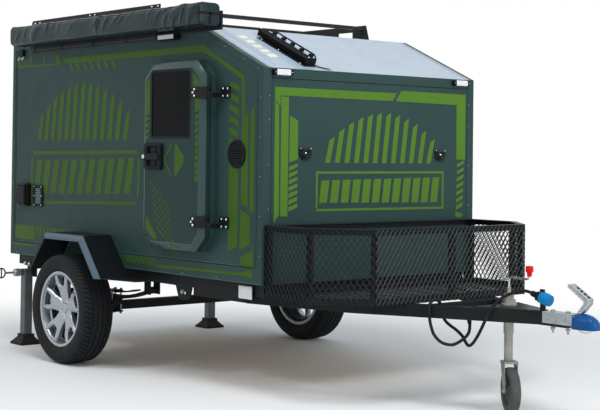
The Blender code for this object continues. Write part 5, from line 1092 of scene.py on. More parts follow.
FRONT_STRIPES += slanted_row([(-0.372, 1.070), (-0.318, 1.072), (-0.334, 0.958), (-0.386, 0.957)],
                             [(0.430, 1.085), (0.484, 1.087), (0.466, 0.950), (0.414, 0.949)], 12)
bar_tops = 1.215 + 0.215 * np.sin(np.linspace(0.3, np.pi - 0.3, 12)) ** 0.8
for middle, high in zip(np.linspace(-0.31, 0.42, 12), bar_tops):
    FRONT_STRIPES.append([(middle - 0.040, 1.160), (middle - 0.006, 1.161), (middle + 0.026, high),
                          (middle - 0.010, high - 0.02)])
piece("front_stripes", [film(outline, OVER_FRONT, "front") for outline in FRONT_STRIPES],
      vinyl_front_painted_light)

# %% [markdown]
# ## Door fittings
# Each door hangs on two black hinges whose straps are bolted through the leaf by three bolts, with
# four more in the foot on the body. A bent profile wraps the leaf's border, and its slanted faces
# catch the light. The latch is a moulded dish with a paddle across it and a key barrel in the
# paddle's end. A rubber gasket runs round the window. Beside the door are a round vent with louvres,
# the power inlet under its lid, and a grille with grey slats.

# %% Hinge covers, bolts and gaskets
PIN_X = FRONT - 0.361
HINGE_HEIGHTS = (1.513, 0.850)
for label, side in SIDES:
    leaf = "door_leaf_" + label
    covers, strap_bolts, foot_bolts = [], [], []
    for height in HINGE_HEIGHTS:
        cover = rounded(0.1325, 0.059, 0.008, (PIN_X - 0.0667, height))
        covers.append(plate(cover, OVER_DOOR, DOOR_FACE + 0.010, label, 0.0025, 0.0))
        covers.append(plate(rounded(0.062, 0.030, 0.004, (PIN_X - 0.052, height)), DOOR_FACE + 0.0098,
                            DOOR_FACE + 0.0125, label, 0.0012, 0.0))
        covers.append(turned([(0.0067, 0.0008), (0.0146, 0.0008), (0.0146, 0.0282), (0.0067, 0.0282)],
                             (PIN_X, side * DOOR_FACE, height), (0, 0, 1), 28))
        for across, up in ((-0.118, 0.0), (-0.104, 0.0165), (-0.104, -0.0165)):
            place = (PIN_X + across, side * (DOOR_FACE + 0.0099), height + up)
            strap_bolts.append(dome_head(place, 0.0072, 0.0045, (0, side, 0), 14))
        for across, up in ((0.034, 0.0185), (0.034, -0.0185), (0.074, 0.0185), (0.074, -0.0185)):
            foot_bolts.append(dome_head((PIN_X + across, side * (SIDE + 0.0083), height + up), 0.0066, 0.0042,
                                        (0, side, 0), 14))
    piece("hinge_covers_" + label, covers, moulded_black, leaf)
    piece("hinge_bolts_" + label, strap_bolts, bright_steel, leaf)
    piece("hinge_foot_bolts_" + label, foot_bolts, bright_steel)
    pane_middle = (FRONT - 0.690, 1.459)
    gasket = ring_plate(rounded(0.364, 0.361, 0.020, pane_middle), rounded(0.340, 0.337, 0.012, pane_middle),
                        DOOR_FACE - 0.0019, DOOR_FACE + 0.0016, label, 0.0008)
    piece("window_gasket_" + label, [gasket], rubber_black, leaf)

# %% Bent profile round each door
BORDER_OUTER = np.array([(-0.960, 0.775), (-0.880, 0.695), (-0.475, 0.695), (-0.395, 0.775), (-0.395, 1.602),
                         (-0.475, 1.682), (-0.880, 1.682), (-0.960, 1.602)]) + (FRONT, 0)
BORDER_INNER = np.array([(-0.924, 0.7899), (-0.8651, 0.731), (-0.4899, 0.731), (-0.431, 0.7899),
                         (-0.431, 1.5871), (-0.4899, 1.646), (-0.8651, 1.646), (-0.924, 1.5871)]) + (FRONT, 0)
for label in ("right", "left"):
    rings = [np.column_stack([outline, np.full(8, DOOR_FACE + level)]) for outline, level in (
        (drawn_in(BORDER_OUTER, 0.0005), -0.0185), (drawn_in(BORDER_INNER, -0.0005), 0.0012),
        (drawn_in(BORDER_INNER, 0.003), 0.0012), (drawn_in(BORDER_INNER, 0.003), 0.0003),
        (drawn_in(BORDER_INNER, 0.001), -0.0015), (drawn_in(BORDER_OUTER, 0.003), -0.0195))]
    border = outward((np.concatenate(rings) @ PLANES[label].T, [grid_faces(6, 8, True, True)]))
    piece("door_border_" + label, [border], door_border, "door_leaf_" + label)
print("door border corners:", len(BORDER_OUTER))

# %% Latches with paddle and key
LATCH_X, LATCH_Z = FRONT - 0.835, 1.183
for label, side in SIDES:
    leaf = "door_leaf_" + label
    dish = rounded(0.160, 0.140, 0.018, (LATCH_X, LATCH_Z))
    hollow = rounded(0.112, 0.104, 0.012, (LATCH_X + 0.010, LATCH_Z))
    floor_of_dish = plate(rounded(0.156, 0.136, 0.016, (LATCH_X, LATCH_Z)), OVER_DOOR, DOOR_FACE + 0.005,
                          label, 0.0005)
    rim = ring_plate(dish, hollow, OVER_DOOR, DOOR_FACE + 0.0185, label, 0.005)
    paddle = plate(rounded(0.150, 0.036, 0.008, (LATCH_X - 0.002, LATCH_Z - 0.002)), DOOR_FACE + 0.010,
                   DOOR_FACE + 0.030, label, 0.004)
    stem = plate(rounded(0.034, 0.100, 0.006, (LATCH_X + 0.004, LATCH_Z)), DOOR_FACE + 0.0045,
                 DOOR_FACE + 0.0085, label, 0.001)
    latch = piece("latch_" + label, [floor_of_dish, rim, paddle, stem], moulded_black, leaf)
    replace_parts(latch, "door_latch_" + label)
    key = (LATCH_X - 0.060, side * (DOOR_FACE + 0.029), LATCH_Z - 0.002)
    key_face = turned([(0, 0), (0.012, 0), (0.012, 0.004), (0.0105, 0.0055), (0.006, 0.0055),
                       (0.0052, 0.0048), (0, 0.0048)], key, (0, side, 0), 28)
    slot = round_box((key[0], side * (DOOR_FACE + 0.0345), key[2]), (0.0018, 0.008, 0.0012), 0.0002, label)
    piece("latch_key_" + label, [key_face, slot], bright_steel, leaf)

# %% Vent, inlet and grille of the right side
def louvres(section, middle, offsets, reaches):
    """Slats across a hole: the section carried sideways by each reach, at each offset of height."""
    return [loft([np.array(section) + middle + (end * reach, 0, offset) for end in (-1, 1)])
            for offset, reach in zip(offsets, reaches)]


vent_middle = (FRONT - 0.212, -OVER_WALL, 1.200)
vent = [turned([(0, 0), (0.0715, 0), (0.072, 0.0035), (0.070, 0.008), (0.0655, 0.010), (0.061, 0.0092),
                (0.0585, 0.004), (0, 0.003)], vent_middle, (0, -1, 0), 72)]
offsets = np.linspace(-0.047, 0.047, 9)
vent += louvres([(0, -0.0032, 0.0038), (0, -0.0088, -0.0022), (0, -0.0088, -0.004), (0, -0.0032, 0.0014)],
                vent_middle, offsets, np.sqrt(0.059 ** 2 - offsets ** 2) * 0.985)
vent = piece("vent_louvres", vent, moulded_black)
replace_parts(vent, "side_vent")

inlet_x, inlet_z = FRONT - 2.365, 0.935
lid = [plate(rounded(0.130, 0.140, 0.010, (inlet_x, inlet_z)), OVER_WALL, SIDE + 0.030, "right", 0.004),
       plate(rounded(0.118, 0.116, 0.012, (inlet_x, inlet_z - 0.006)), SIDE + 0.0298, SIDE + 0.048, "right",
             0.007), bar([(inlet_x - 0.050, -(SIDE + 0.036), inlet_z + 0.058),
                          (inlet_x + 0.050, -(SIDE + 0.036), inlet_z + 0.058)], 0.006, 14),
       round_box((inlet_x, -(SIDE + 0.047), inlet_z - 0.055), (0.034, 0.016, 0.006), 0.002, "right")]
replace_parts(piece("inlet_housing", lid, moulded_black), "power_inlet")

grille_x, grille_z = FRONT - 2.205, 0.931
surround = ring_plate(rounded(0.110, 0.132, 0.010, (grille_x, grille_z)),
                      rounded(0.064, 0.100, 0.004, (grille_x, grille_z)), OVER_WALL, SIDE + 0.010, "right",
                      0.0025)
bed = plate(rounded(0.104, 0.126, 0.008, (grille_x, grille_z)), OVER_WALL, SIDE + 0.0022, "right", 0.0003)
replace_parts(piece("grille_surround", [surround, bed], moulded_black), "side_grille")
grey_slat = surface("grey_slat", (120, 134, 142), 0.45, drift=0.08, drift_scale=30, grain=0.2)
slats = louvres([(0, -0.0022, 0.004), (0, -0.008, -0.0018), (0, -0.008, -0.0036), (0, -0.0022, 0.0018)],
                (grille_x, -OVER_WALL, grille_z), np.linspace(-0.043, 0.043, 9), [0.0318] * 9)
piece("grille_slats", slats, grey_slat)
screws = [dome_head((grille_x + 0.0435 * a, -(SIDE + 0.010), grille_z + 0.056 * b), 0.0042, 0.0026,
                    (0, -1, 0), 12) for a, b in ((-1, -1), (1, -1), (-1, 1), (1, 1), (-1, 0), (1, 0))]
piece("grille_screws", screws, bright_steel)

# %% [markdown]
# ## Front wall, seams and small lamps
# The body's corners are aluminium profiles that lap the panels. Their edges show as fine dark seams
# with a rivet every so often, and a thin pale line along the lower profiles is a painted highlight on
# their edge. The clearance lamps have black end caps with a screw each, and a lens with small
# prisms. The lashing plates are D-shaped pressings with a ring and a bright bolt.

# %% Seams and rivets of the corner profiles
# Near-black film for the dark lines along the profiles' seams, and for the dark discs painted as shade in the
# lever's holes.
seam_lines_and_hole_shade = surface("dark_seams_and_hole_shade", (14, 20, 22), 0.6, drift_scale=20, grain=0.2, grain_scale=700)
# A pale blue-grey painted along the lower profiles' edges as their highlight.
edge_bright = surface("painted_edge_highlight", (96, 122, 130), 0.35, drift=0.12, drift_scale=9, grain=0.15,
                      grain_scale=700)


def strip(a, b, width, surface_height, plane):
    """Straight film of the given width from a to b on one of the body's planes."""
    a, b = np.array(a, float), np.array(b, float)
    beside = np.array([-(b - a)[1], (b - a)[0]]) / np.linalg.norm(b - a) * width / 2
    return film([a - beside, b - beside, b + beside, a + beside], surface_height, plane)


seams = [strip((-0.700, 1.5775), (0.700, 1.5775), 0.0032, OVER_FRONT, "front"),
         strip((-0.7005, 0.560), (-0.7005, 1.610), 0.002, OVER_FRONT, "front"),
         strip((0.7005, 0.560), (0.7005, 1.610), 0.002, OVER_FRONT, "front")]
for label in ("right", "left"):
    seams.append(strip((-0.425, 1.780), (-0.062, 1.616), 0.002, OVER_WALL, label))
    seams.append(strip((-0.050, 0.640), (-0.050, 1.575), 0.002, OVER_WALL, label))
    seams.append(strip((-2.500, 0.6395), (-0.072, 0.6395), 0.0022, OVER_WALL, label))
    seams.append(strip((-2.4985, 0.644), (-2.4985, 1.826), 0.0022, OVER_WALL, label))
piece("profile_seams", seams, seam_lines_and_hole_shade)

# Painted highlight: thin pale strips along the lower profiles' edges.
bright = []
for label in ("right", "left"):
    bright.append(strip((-2.500, 0.6445), (-0.090, 0.6445), 0.0014, OVER_WALL, label))
    bright.append(strip((-2.545, 0.5615), (-0.005, 0.5615), 0.0016, OVER_RAISED, label))
piece("painted_edge_highlights", bright, edge_bright)

rivets = []
for label, side in SIDES:
    for x in np.arange(-2.47, -0.08, 0.30):
        rivets.append(dome_head((FRONT + x, side * (SIDE + 0.003), 0.572), 0.003, 0.0014, (0, side, 0), 10))
    places = [(FRONT - 0.0215, z) for z in np.arange(0.70, 1.60, 0.195)]
    places += [(FRONT - 2.529, z) for z in np.arange(0.74, 1.80, 0.26)]
    places += [(FRONT - 0.530 + 0.500 * share, 1.840 - 0.221 * share) for share in (0.10, 0.42, 0.74, 0.97)]
    rivets += [dome_head((x, side * (SIDE + 0.003), z), 0.0028, 0.0013, (0, side, 0), 10) for x, z in places]
    for z in (0.93, 1.15, 1.37, 1.49):
        rivets.append(dome_head((FRONT, side * 0.715, z), 0.0028, 0.0013, (1, 0, 0), 10))
piece("rivets", rivets, zinc)

# %% Clearance lamps, side lamps and lashing plates
CLEARANCE_LAMP_Z = 1.6075
caps, prisms, screws = [], [], []
for label, side in SIDES:
    middle = side * 0.640
    for end in (-1, 1):
        cap = rounded(0.0225, 0.0312, 0.006, (middle + end * 0.052, CLEARANCE_LAMP_Z))
        caps.append(plate(cap, OVER_FRONT, FRONT + 0.0215, "front", 0.004, 0.0))
        place = (FRONT + 0.0212, middle + end * 0.053, CLEARANCE_LAMP_Z)
        screws.append(dome_head(place, 0.003, 0.0016, (1, 0, 0), 10))
    for column in np.linspace(-0.033, 0.033, 12):
        for row in (-0.0075, 0.0, 0.0075):
            place = (FRONT + 0.0202, middle + column, CLEARANCE_LAMP_Z + row)
            prisms.append(dome_head(place, 0.0027, 0.0012, (1, 0, 0), 8))
    lamp_x, lamp_z = FRONT - 0.178, 0.5085
    for column in np.linspace(-0.040, 0.040, 9):
        for row in np.linspace(-0.022, 0.022, 5):
            prisms.append(dome_head((lamp_x + column, side * 0.718, lamp_z + row), 0.004, 0.0012,
                                    (0, side, 0), 8))
    caps.append(ring_plate(rounded(0.111, 0.071, 0.010, (lamp_x, lamp_z)),
                           rounded(0.100, 0.060, 0.006, (lamp_x, lamp_z)), 0.7005, 0.712, label, 0.002))
piece("lamp_caps", caps, moulded_black)
piece("lamp_prisms", prisms, clear_lens)


def d_shape(half, top, bottom, middle, bend=1.207):
    """Flat top with two cut corners, straight sides, and half an ellipse below the level of the bend."""
    swing = np.linspace(np.pi, 2 * np.pi, 17)
    lower = np.column_stack([half * np.cos(swing), bend + (bend - bottom) * np.sin(swing)])
    upper = [(half, top - 0.006), (half - 0.006, top), (0.006 - half, top), (-half, top - 0.006)]
    return np.concatenate([upper, lower]) + (middle, 0)


for label, side in SIDES:
    middle = side * 0.484
    base = plate(d_shape(0.0385, 1.2365, 1.1735, middle), FRONT + 0.0004, FRONT + 0.0035, "front", 0.0006)
    rim = ring_plate(d_shape(0.0388, 1.2366, 1.1734, middle), d_shape(0.031, 1.229, 1.181, middle),
                     FRONT + 0.0004, FRONT + 0.010, "front", 0.0025)
    swing = np.linspace(0.92 * np.pi, 2.08 * np.pi, 25)
    ring = np.column_stack([np.full(25, FRONT + 0.0125), middle + 0.0215 * np.cos(swing),
                            1.212 + 0.024 * np.sin(swing)])
    ring = np.concatenate([[(FRONT + 0.011, middle - 0.019, 1.2255)], ring,
                           [(FRONT + 0.011, middle + 0.019, 1.2255)]])
    pivot = bar([(FRONT + 0.011, middle - 0.026, 1.2255), (FRONT + 0.011, middle + 0.026, 1.2255)], 0.0042,
                12)
    eye = piece("lashing_plate_" + label, [base, rim, bar(ring, 0.0036, 12), pivot], mesh_coat)
    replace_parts(eye, "lashing_eye_" + label)
    screws.append(dome_head((FRONT + 0.0034, middle, 1.209), 0.0085, 0.010, (1, 0, 0), 16))
    for corner in (-0.033, 0.033):
        screws.append(dome_head((FRONT + 0.0098, middle + corner, 1.231), 0.0034, 0.0022, (1, 0, 0), 12))
piece("front_screws", screws, bright_steel)

# %% [markdown]
# ## Roof rack and light bar
# The rack's side plates are laser-cut sheet, bolted to the crossbars in pairs. The light bar is an
# aluminium extrusion with cooling fins across its back, glass towards the kerb, end brackets, and a
# wire that runs down the slope to the front edge. Beside it, five pale blocks of thin film are a
# painted reflection in the glossy slope.

# %% Rack bolts
CROSSBARS = (-2.340, -1.850, -1.350, -0.855)    # before the body's front face
BRACKET_Z = 1.969
rack_bolts = []
for x, z in ((-2.379, 2.0045), (-2.3225, 2.0045), (-1.7285, 2.008), (-1.6726, 2.008), (-1.0749, 2.0095),
             (-1.016, 2.0095)):
    rack_bolts.append(dome_head((FRONT + x, -0.6948, z), 0.0068, 0.0046, (0, -1, 0), 16))
for x in CROSSBARS:
    for side in (-1, 1):
        for shift in (-0.008, 0.008):
            place = (FRONT + x + shift, side * 0.6926, BRACKET_Z)
            rack_bolts.append(dome_head(place, 0.005, 0.0034, (0, side, 0), 12))
piece("rack_bolts", rack_bolts, bright_steel)
brackets = [round_box((FRONT + x, side * 0.687, BRACKET_Z - 0.012), (0.046, 0.010, 0.040))
            for x in CROSSBARS for side in (-1, 1)]
piece("rack_brackets", brackets, rack_brown)

# %% Light bar over the sloping panel
SLOPE_HIGH, SLOPE_LOW, SLOPE_RUN = 1.870, 1.629, 0.545
SLOPE_DROP = math.atan2(SLOPE_HIGH - SLOPE_LOW, SLOPE_RUN)
slope_normal = np.array((math.sin(SLOPE_DROP), 0.0, math.cos(SLOPE_DROP)))
slope_down = np.array((math.cos(SLOPE_DROP), 0.0, -math.sin(SLOPE_DROP)))
slope_top = np.array((FRONT - SLOPE_RUN, 0.0, SLOPE_HIGH))


def on_slope(shape):
    """A shape made as (down the slope, across, off it), set on the sloping panel."""
    points, faces = shape
    world = slope_top + points[:, :1] * slope_down + points[:, 1:2] * (0, 1, 0) + points[:, 2:] * slope_normal
    return outward((world, faces))


def across_slope(section, first, last):
    """A section drawn across the slope, carried straight down it from first to last."""
    return on_slope(loft([np.column_stack([np.full(len(section), s), section]) for s in (first, last)]))


bar_middle, BAR_SIDE = 0.290 / math.cos(SLOPE_DROP), -0.410
low, high = 0.0044, 0.0402
near, far = BAR_SIDE - 0.030, BAR_SIDE + 0.030
profile = [(near, low + 0.006), (near + 0.006, low), (far - 0.006, low), (far, low + 0.006),
           (far, high - 0.014), (far - 0.012, high - 0.006), (near + 0.010, high), (near, high - 0.006)]
start, end = bar_middle - 0.212, bar_middle + 0.212
housing = [across_slope(profile, start, end)]
for s in np.linspace(start + 0.014, end - 0.014, 46):
    housing.append(across_slope([(near + 0.012, high - 0.001), (near + 0.016, high + 0.0042),
                                 (far - 0.014, high - 0.001), (far - 0.012, high - 0.007)], s - 0.0014,
                                s + 0.0014))
for s in (start - 0.003, end + 0.003):
    housing.append(across_slope([(near - 0.002, low - 0.001), (far + 0.003, low - 0.001), (far + 0.003, high),
                                 (near + 0.004, high + 0.004), (near - 0.002, high - 0.002)],
                                s - 0.003, s + 0.003))
tube = [(start + 0.010, far + 0.012, high - 0.004), (start + 0.035, far + 0.016, high + 0.006)]
tube += [(s, far + 0.0165, high + 0.007) for s in np.linspace(start + 0.060, end - 0.060, 6)]
tube += [(end - 0.035, far + 0.016, high + 0.006), (end - 0.010, far + 0.010, high - 0.006)]
housing.append(on_slope(bar(smooth_curve(tube, 4), 0.0042, 12)))
for s in np.linspace(start + 0.050, end - 0.050, 5):
    housing.append(on_slope(round_box((s, far + 0.007, high - 0.003), (0.016, 0.026, 0.018))))
foot_plate = plate([(start + 0.030, near - 0.030), (end + 0.022, near - 0.024), (end + 0.022, far),
                    (start + 0.030, far)], 0.0004, 0.0024, "top", 0.0006)
housing.append(on_slope(foot_plate))
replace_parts(piece("light_bar_housing", housing, moulded_black), "light_bar")
glass = plate(rectangle(start + 0.006, end - 0.006, low + 0.0075, high - 0.0085), 0.0, 0.0012, "top", 0.0003)
glass_world = np.column_stack([glass[0][:, 0], near - 0.0002 - glass[0][:, 2], glass[0][:, 1]])
piece("light_bar_glass", [on_slope(outward((glass_world, glass[1])))], tinted_acrylic)
screws = [on_slope(dome_head((s, y, height), 0.005, 0.0034, axis, 12)) for s, y, height,
          axis in ((start - 0.003, near + 0.010, high + 0.003, (0, 0, 1)),
                   (end + 0.003, near + 0.010, high + 0.003, (0, 0, 1)),
                   (start + 0.060, near - 0.018, 0.0023, (0, 0, 1)),
                   (end - 0.020, near - 0.015, 0.0023, (0, 0, 1)),
                   (bar_middle, near - 0.016, 0.0023, (0, 0, 1)))]
piece("light_bar_screws", screws, bright_steel)
wire_out, wire_edge = np.array([end + 0.010, far - 0.014, 0.012]), np.array([0.582, -0.308, 0.0036])
wire_middle = wire_out + (wire_edge - wire_out) * (0.35, 0.35, 1)
wire = smooth_curve([(end - 0.012, far - 0.016, 0.020), wire_out, wire_middle, wire_edge], 8)
piece("light_bar_wire", [on_slope(bar(wire, 0.003, 12))], rubber_black)
piece("wire_grommet", [on_slope(turned([(0, 0), (0.0105, 0), (0.0095, 0.0035), (0.005, 0.006), (0, 0.006)],
                                       (0.580, -0.308, 0.0004), (0, 0, 1), 24))], zinc)

# %% Painted reflection on the slope: five pale film blocks
slope_reflection_blocks = [[(x + 0.010, -0.596), (x, -0.532), (x + 0.049, -0.538), (x + 0.060, -0.600)]
                for x in np.linspace(0.114, 0.382, 5)]
piece("slope_reflection_blocks", [on_slope(plate(block, 0.0003, 0.0003 + FILM)) for block in slope_reflection_blocks],
      painted_reflection_white)
slope_trim = [plate(rectangle(0.004, 0.592, side * 0.7185, side * 0.693), 0.0003, 0.0012) for side in (-1, 1)]
slope_trim += [plate(rectangle(0.010, 0.560, -0.655, -0.652), 0.0003, 0.0008),
               plate(rectangle(0.010, 0.500, -0.630, -0.6275), 0.0003, 0.0008)]
roof_trim = surface("roof_trim", (150, 168, 184), 0.34, drift=0.06, drift_scale=5, grain_scale=800,
                    Coat_Weight=0.3, Coat_Roughness=0.2)
piece("slope_trim", [on_slope(shape) for shape in slope_trim], roof_trim)

# %% [markdown]
# ## Coupling and jockey wheel
# The coupling's pressed housing is galvanised and bolted through the drawbar's nose with two bolts.
# A domed plastic cap covers its ball socket, and its lever is a pressed channel with lightening
# holes, which are not cut but painted as dark discs of shade. The jockey wheel slides in a tube that
# a clamp holds, and a thin crank with a red knob winds it up and down.

# %% Coupling cap, bolts, ring and lever
CAP_BOTTOM, CAP_LIP = 0.4334, 0.003
stations = np.array([1.3306, 1.334, 1.342, 1.352, 1.364, 1.376, 1.388, 1.400, 1.412, 1.423, 1.432, 1.440,
                     1.446, 1.450, 1.4527])
tops = np.interp(stations, [1.3306, 1.338, 1.350, 1.372, 1.392, 1.412, 1.430, 1.442, 1.449, 1.4527],
                 [0.060, 0.069, 0.071, 0.071, 0.069, 0.0635, 0.054, 0.043, 0.032, 0.020])
halves = np.interp(stations, [1.3306, 1.345, 1.400, 1.425, 1.440, 1.449, 1.4527],
                   [0.038, 0.0415, 0.042, 0.0385, 0.031, 0.021, 0.011])
swing = np.linspace(0, np.pi, 25)
around_cap = np.column_stack([np.cos(swing), np.sin(swing) ** 0.75])
around_cap = np.concatenate([around_cap, [(-0.97, -0.04), (0.0, -0.06), (0.97, -0.04)]])
squarer = np.sign(around_cap[:, 0]) * np.abs(around_cap[:, 0]) ** 0.85
rings = [np.column_stack([np.full(28, FRONT + x), half * squarer,
                          CAP_BOTTOM + CAP_LIP + (top - CAP_LIP) * around_cap[:, 1]])
         for x, top, half in zip(stations, tops, halves)]
cap = piece("coupling_cap", [loft(rings)], signal_blue, sharp=50)
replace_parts(cap, "coupler_cap")

bolts = []
for x in (1.196, 1.282):
    bolts.append(hex_head((FRONT + x, 0, 0.4977), 0.010, 0.0085, (0, 0, 1)))
    bolts.append(bar([(FRONT + x, 0, 0.434), (FRONT + x, 0, 0.401)], 0.005, 14))
    bolts.append(hex_head((FRONT + x, 0, 0.425), 0.0095, 0.010, (0, 0, -1)))
    for side in (-1, 1):
        bolts.append(hex_head((FRONT + x, side * 0.0345, 0.472), 0.0085, 0.006, (0, side, 0)))
wire_angle = np.linspace(0, np.pi, 15)
loop = np.column_stack([FRONT + 1.392 + 0.034 * np.cos(wire_angle), np.full(15, -0.020),
                        0.4335 - 0.012 * np.sin(wire_angle)])
bolts.append(bar(loop, 0.0016, 10))
piece("coupling_bolts", bolts, zinc)

LEVER_BASE = CAP_BOTTOM + 0.0713
flange_line = np.array([(1.3415, 0.0), (1.3665, 0.0), (1.409, 0.0447), (1.411, 0.0663), (1.3125, 0.1268),
                        (1.2915, 0.1268), (1.2892, 0.1117), (1.3795, 0.0515),
                        (1.3755, 0.0405)]) + (FRONT, LEVER_BASE)
inner_line = drawn_in(flange_line, 0.0045)
flanges = [ring_plate(flange_line, inner_line, 0.015, 0.0164, label, 0.0004) for label in ("right", "left")]
piece("lever_flanges", flanges, bright_steel)
arm_start, arm_end = np.array((1.411, 0.0663)), np.array((1.3125, 0.1268))
run = (arm_end - arm_start) / np.linalg.norm(arm_end - arm_start)
facing_out = (run[1], 0.0, -run[0])
# The lightening holes are painted: dark discs of shade on the lever's face.
hole_shade_discs = []
for share in (0.14, 0.34, 0.54, 0.74):
    spot = arm_start + (arm_end - arm_start) * share
    centre = (FRONT + spot[0], 0.0, LEVER_BASE + spot[1])
    hole_shade_discs.append(turned([(0, 0.0002), (0.0072, 0.0002), (0.0072, 0.0006), (0, 0.0006)], centre, facing_out,
                        24))
piece("lever_hole_shade", hole_shade_discs, seam_lines_and_hole_shade)

# %% Jockey tube, clamp, crank and knob
jockey_x = FRONT + 0.930
tube = turned([(0.021, 0.370), (0.024, 0.370), (0.024, 0.544), (0.025, 0.544), (0.025, 0.5545),
               (0.012, 0.555), (0.010, 0.565), (0.010, 0.585), (0.007, 0.587), (0.0, 0.587), (0.0, 0.543),
               (0.021, 0.542)], (jockey_x, 0, 0), (0, 0, 1), 48)
clamp = turned([(0.0243, 0.4998), (0.038, 0.4998), (0.038, 0.509), (0.035, 0.5117), (0.028, 0.5125),
                (0.027, 0.525), (0.0243, 0.525)], (jockey_x, 0, 0), (0, 0, 1), 48)
body = [tube, clamp, round_box((jockey_x, 0.033, 0.519), (0.016, 0.018, 0.020), 0.002)]
crank_path = smooth_curve([(jockey_x, 0, 0.586), (jockey_x, 0, 0.612), (jockey_x + 0.004, -0.001, 0.629),
                           (jockey_x + 0.018, -0.003, 0.635), (jockey_x + 0.075, -0.0115, 0.634),
                           (jockey_x + 0.124, -0.019, 0.635), (jockey_x + 0.138, -0.021, 0.642),
                           (jockey_x + 0.1425, -0.022, 0.656)], 6)
jockey_body = piece("jockey_tube_and_clamp", body, aged_zinc)
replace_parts(jockey_body, "jockey_outer_tube")
piece("jockey_crank", [bar(crank_path, 0.0052, 14)], bright_steel)
knob_at = (jockey_x + 0.143, -0.022, 0.0)
knob = turned([(0, 0.648), (0.0105, 0.648), (0.0115, 0.656), (0.0125, 0.666), (0.0175, 0.670),
               (0.0182, 0.674), (0.0182, 0.692), (0.0168, 0.6965), (0.008, 0.698), (0, 0.698)], knob_at,
              (0, 0, 1), 8)
piece("jockey_knob", [knob], signal_red, sharp=25)

# %% Tread, hub and axle nuts of the jockey wheel
TURN, TRAIL, WHEEL_R = math.radians(33), 0.045, 0.108
rolling = np.array((math.cos(TURN), -math.sin(TURN), 0.0))
axle = np.array((math.sin(TURN), math.cos(TURN), 0.0))
wheel_middle = np.array((jockey_x, 0.0, WHEEL_R)) + rolling * TRAIL
tread = [(0.072, -0.0205), (0.074, -0.0215), (0.090, -0.0228), (0.0985, -0.0218), (0.1045, -0.018),
         (0.1062, -0.015), (0.1078, -0.008), (0.108, 0.0), (0.1078, 0.008), (0.1062, 0.015), (0.1045, 0.018),
         (0.0985, 0.0218), (0.090, 0.0228), (0.074, 0.0215), (0.072, 0.0205)]
hub = [(0.0068, -0.0205), (0.022, -0.0205), (0.026, -0.0105), (0.066, -0.010), (0.069, -0.0195),
       (0.0722, -0.0205), (0.0722, 0.0205), (0.069, 0.0195), (0.066, 0.010), (0.026, 0.0105), (0.022, 0.0205),
       (0.0068, 0.0205)]
roller = piece("jockey_tread", [turned(tread, wheel_middle, axle, 96), turned(hub, wheel_middle, axle, 64)],
               worn_rubber, "jockey_roller")
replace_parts(roller, "jockey_wheel")
nuts = [hex_head(wheel_middle + axle * end * 0.034, 0.0095, 0.0075, axle * end) for end in (-1, 1)]
piece("jockey_axle_nuts", nuts, zinc, "jockey_caster")

# %% [markdown]
# ## Rear legs and tail
# Each rear leg is a galvanised square tube clamped in a bracket. A bolt with a ring handle locks it.
# The tail is not in the photograph, so it follows the usual pattern: a compression latch on the
# hatch, lamps in two colours, a blank plate in its holder, and a drip rail over the hinge.

# %% Leg brackets, clamp bolts and ring handles
leg_x, PIVOT_Z = FRONT - 2.410, 0.448
for label, side in SIDES:
    cap = turned([(0, 0.0), (0.0235, 0.0), (0.024, 0.003), (0.024, 0.033), (0.0225, 0.038), (0.015, 0.040),
                  (0.013, 0.040), (0.0115, 0.043), (0, 0.043)], (leg_x, side * 0.762, PIVOT_Z), (0, side, 0),
                 40)
    stem_path = [(leg_x, side * 0.800, PIVOT_Z), (leg_x, side * 0.864, PIVOT_Z)]
    piece("leg_clamp_" + label, [cap, bar(stem_path, 0.0065, 16)], zinc, "leg_" + label)
    angle = np.linspace(0, 2 * np.pi, 37)[:-1]
    loop = np.column_stack([np.full(36, leg_x), side * (0.888 + 0.0255 * np.cos(angle)),
                            PIVOT_Z + 0.029 * np.sin(angle)])
    handle = [bar(np.concatenate([loop, loop[:2]]), 0.0044, 12),
              bar([(leg_x, side * 0.888, 0.421), (leg_x, side * 0.888, 0.475)], 0.004, 12)]
    piece("leg_handle_" + label, handle, black_coat, "leg_" + label)
    strap = plate(rectangle(leg_x - 0.046, leg_x + 0.040, 0.488, 0.512), 0.7003, 0.7083, label, 0.001)
    piece("leg_bracket_" + label, [strap], black_coat)
    bolts = [hex_head((leg_x + shift, side * 0.7088, 0.500), 0.0085, 0.007, (0, side, 0))
             for shift in (-0.030, 0.022)]
    piece("leg_bolts_" + label, bolts, bright_steel)

# %% Hatch latch, plate and lamps of the tail
TAIL = 2.550 - FRONT    # the tail's distance behind x = 0
hatch_face = TAIL + 0.0043
latch_z, PLATE_Z, TAIL_LAMP_Z = 0.784, 0.608, 0.604
dish = ring_plate(rounded(0.142, 0.092, 0.012, (0, latch_z)), rounded(0.112, 0.062, 0.008, (0, latch_z)),
                  hatch_face + 0.0123, hatch_face + 0.0165, "rear", 0.0015)
paddle = plate(rounded(0.102, 0.026, 0.006, (0, latch_z)), hatch_face + 0.018, hatch_face + 0.0232, "rear",
               0.002)
piece("hatch_latch", [dish, paddle], moulded_black, "tail_hatch")
key = turned([(0, 0), (0.0085, 0), (0.0085, 0.003), (0.007, 0.0042), (0, 0.0042)],
             (-(hatch_face + 0.023), 0.030, latch_z), (-1, 0, 0), 24)
piece("hatch_key", [key], bright_steel, "tail_hatch")
drip = round_box((-(TAIL - 0.004), 0, 1.8745), (1.430, 0.014, 0.010), 0.003, "rear")
blank = plate(rounded(0.340, 0.088, 0.006, (0, PLATE_Z)), TAIL + 0.008, TAIL + 0.0105, "rear", 0.0005)
holder_rim = ring_plate(rounded(0.352, 0.097, 0.008, (0, PLATE_Z)),
                        rounded(0.332, 0.080, 0.005, (0, PLATE_Z)), TAIL + 0.0003, TAIL + 0.0125, "rear",
                        0.002)
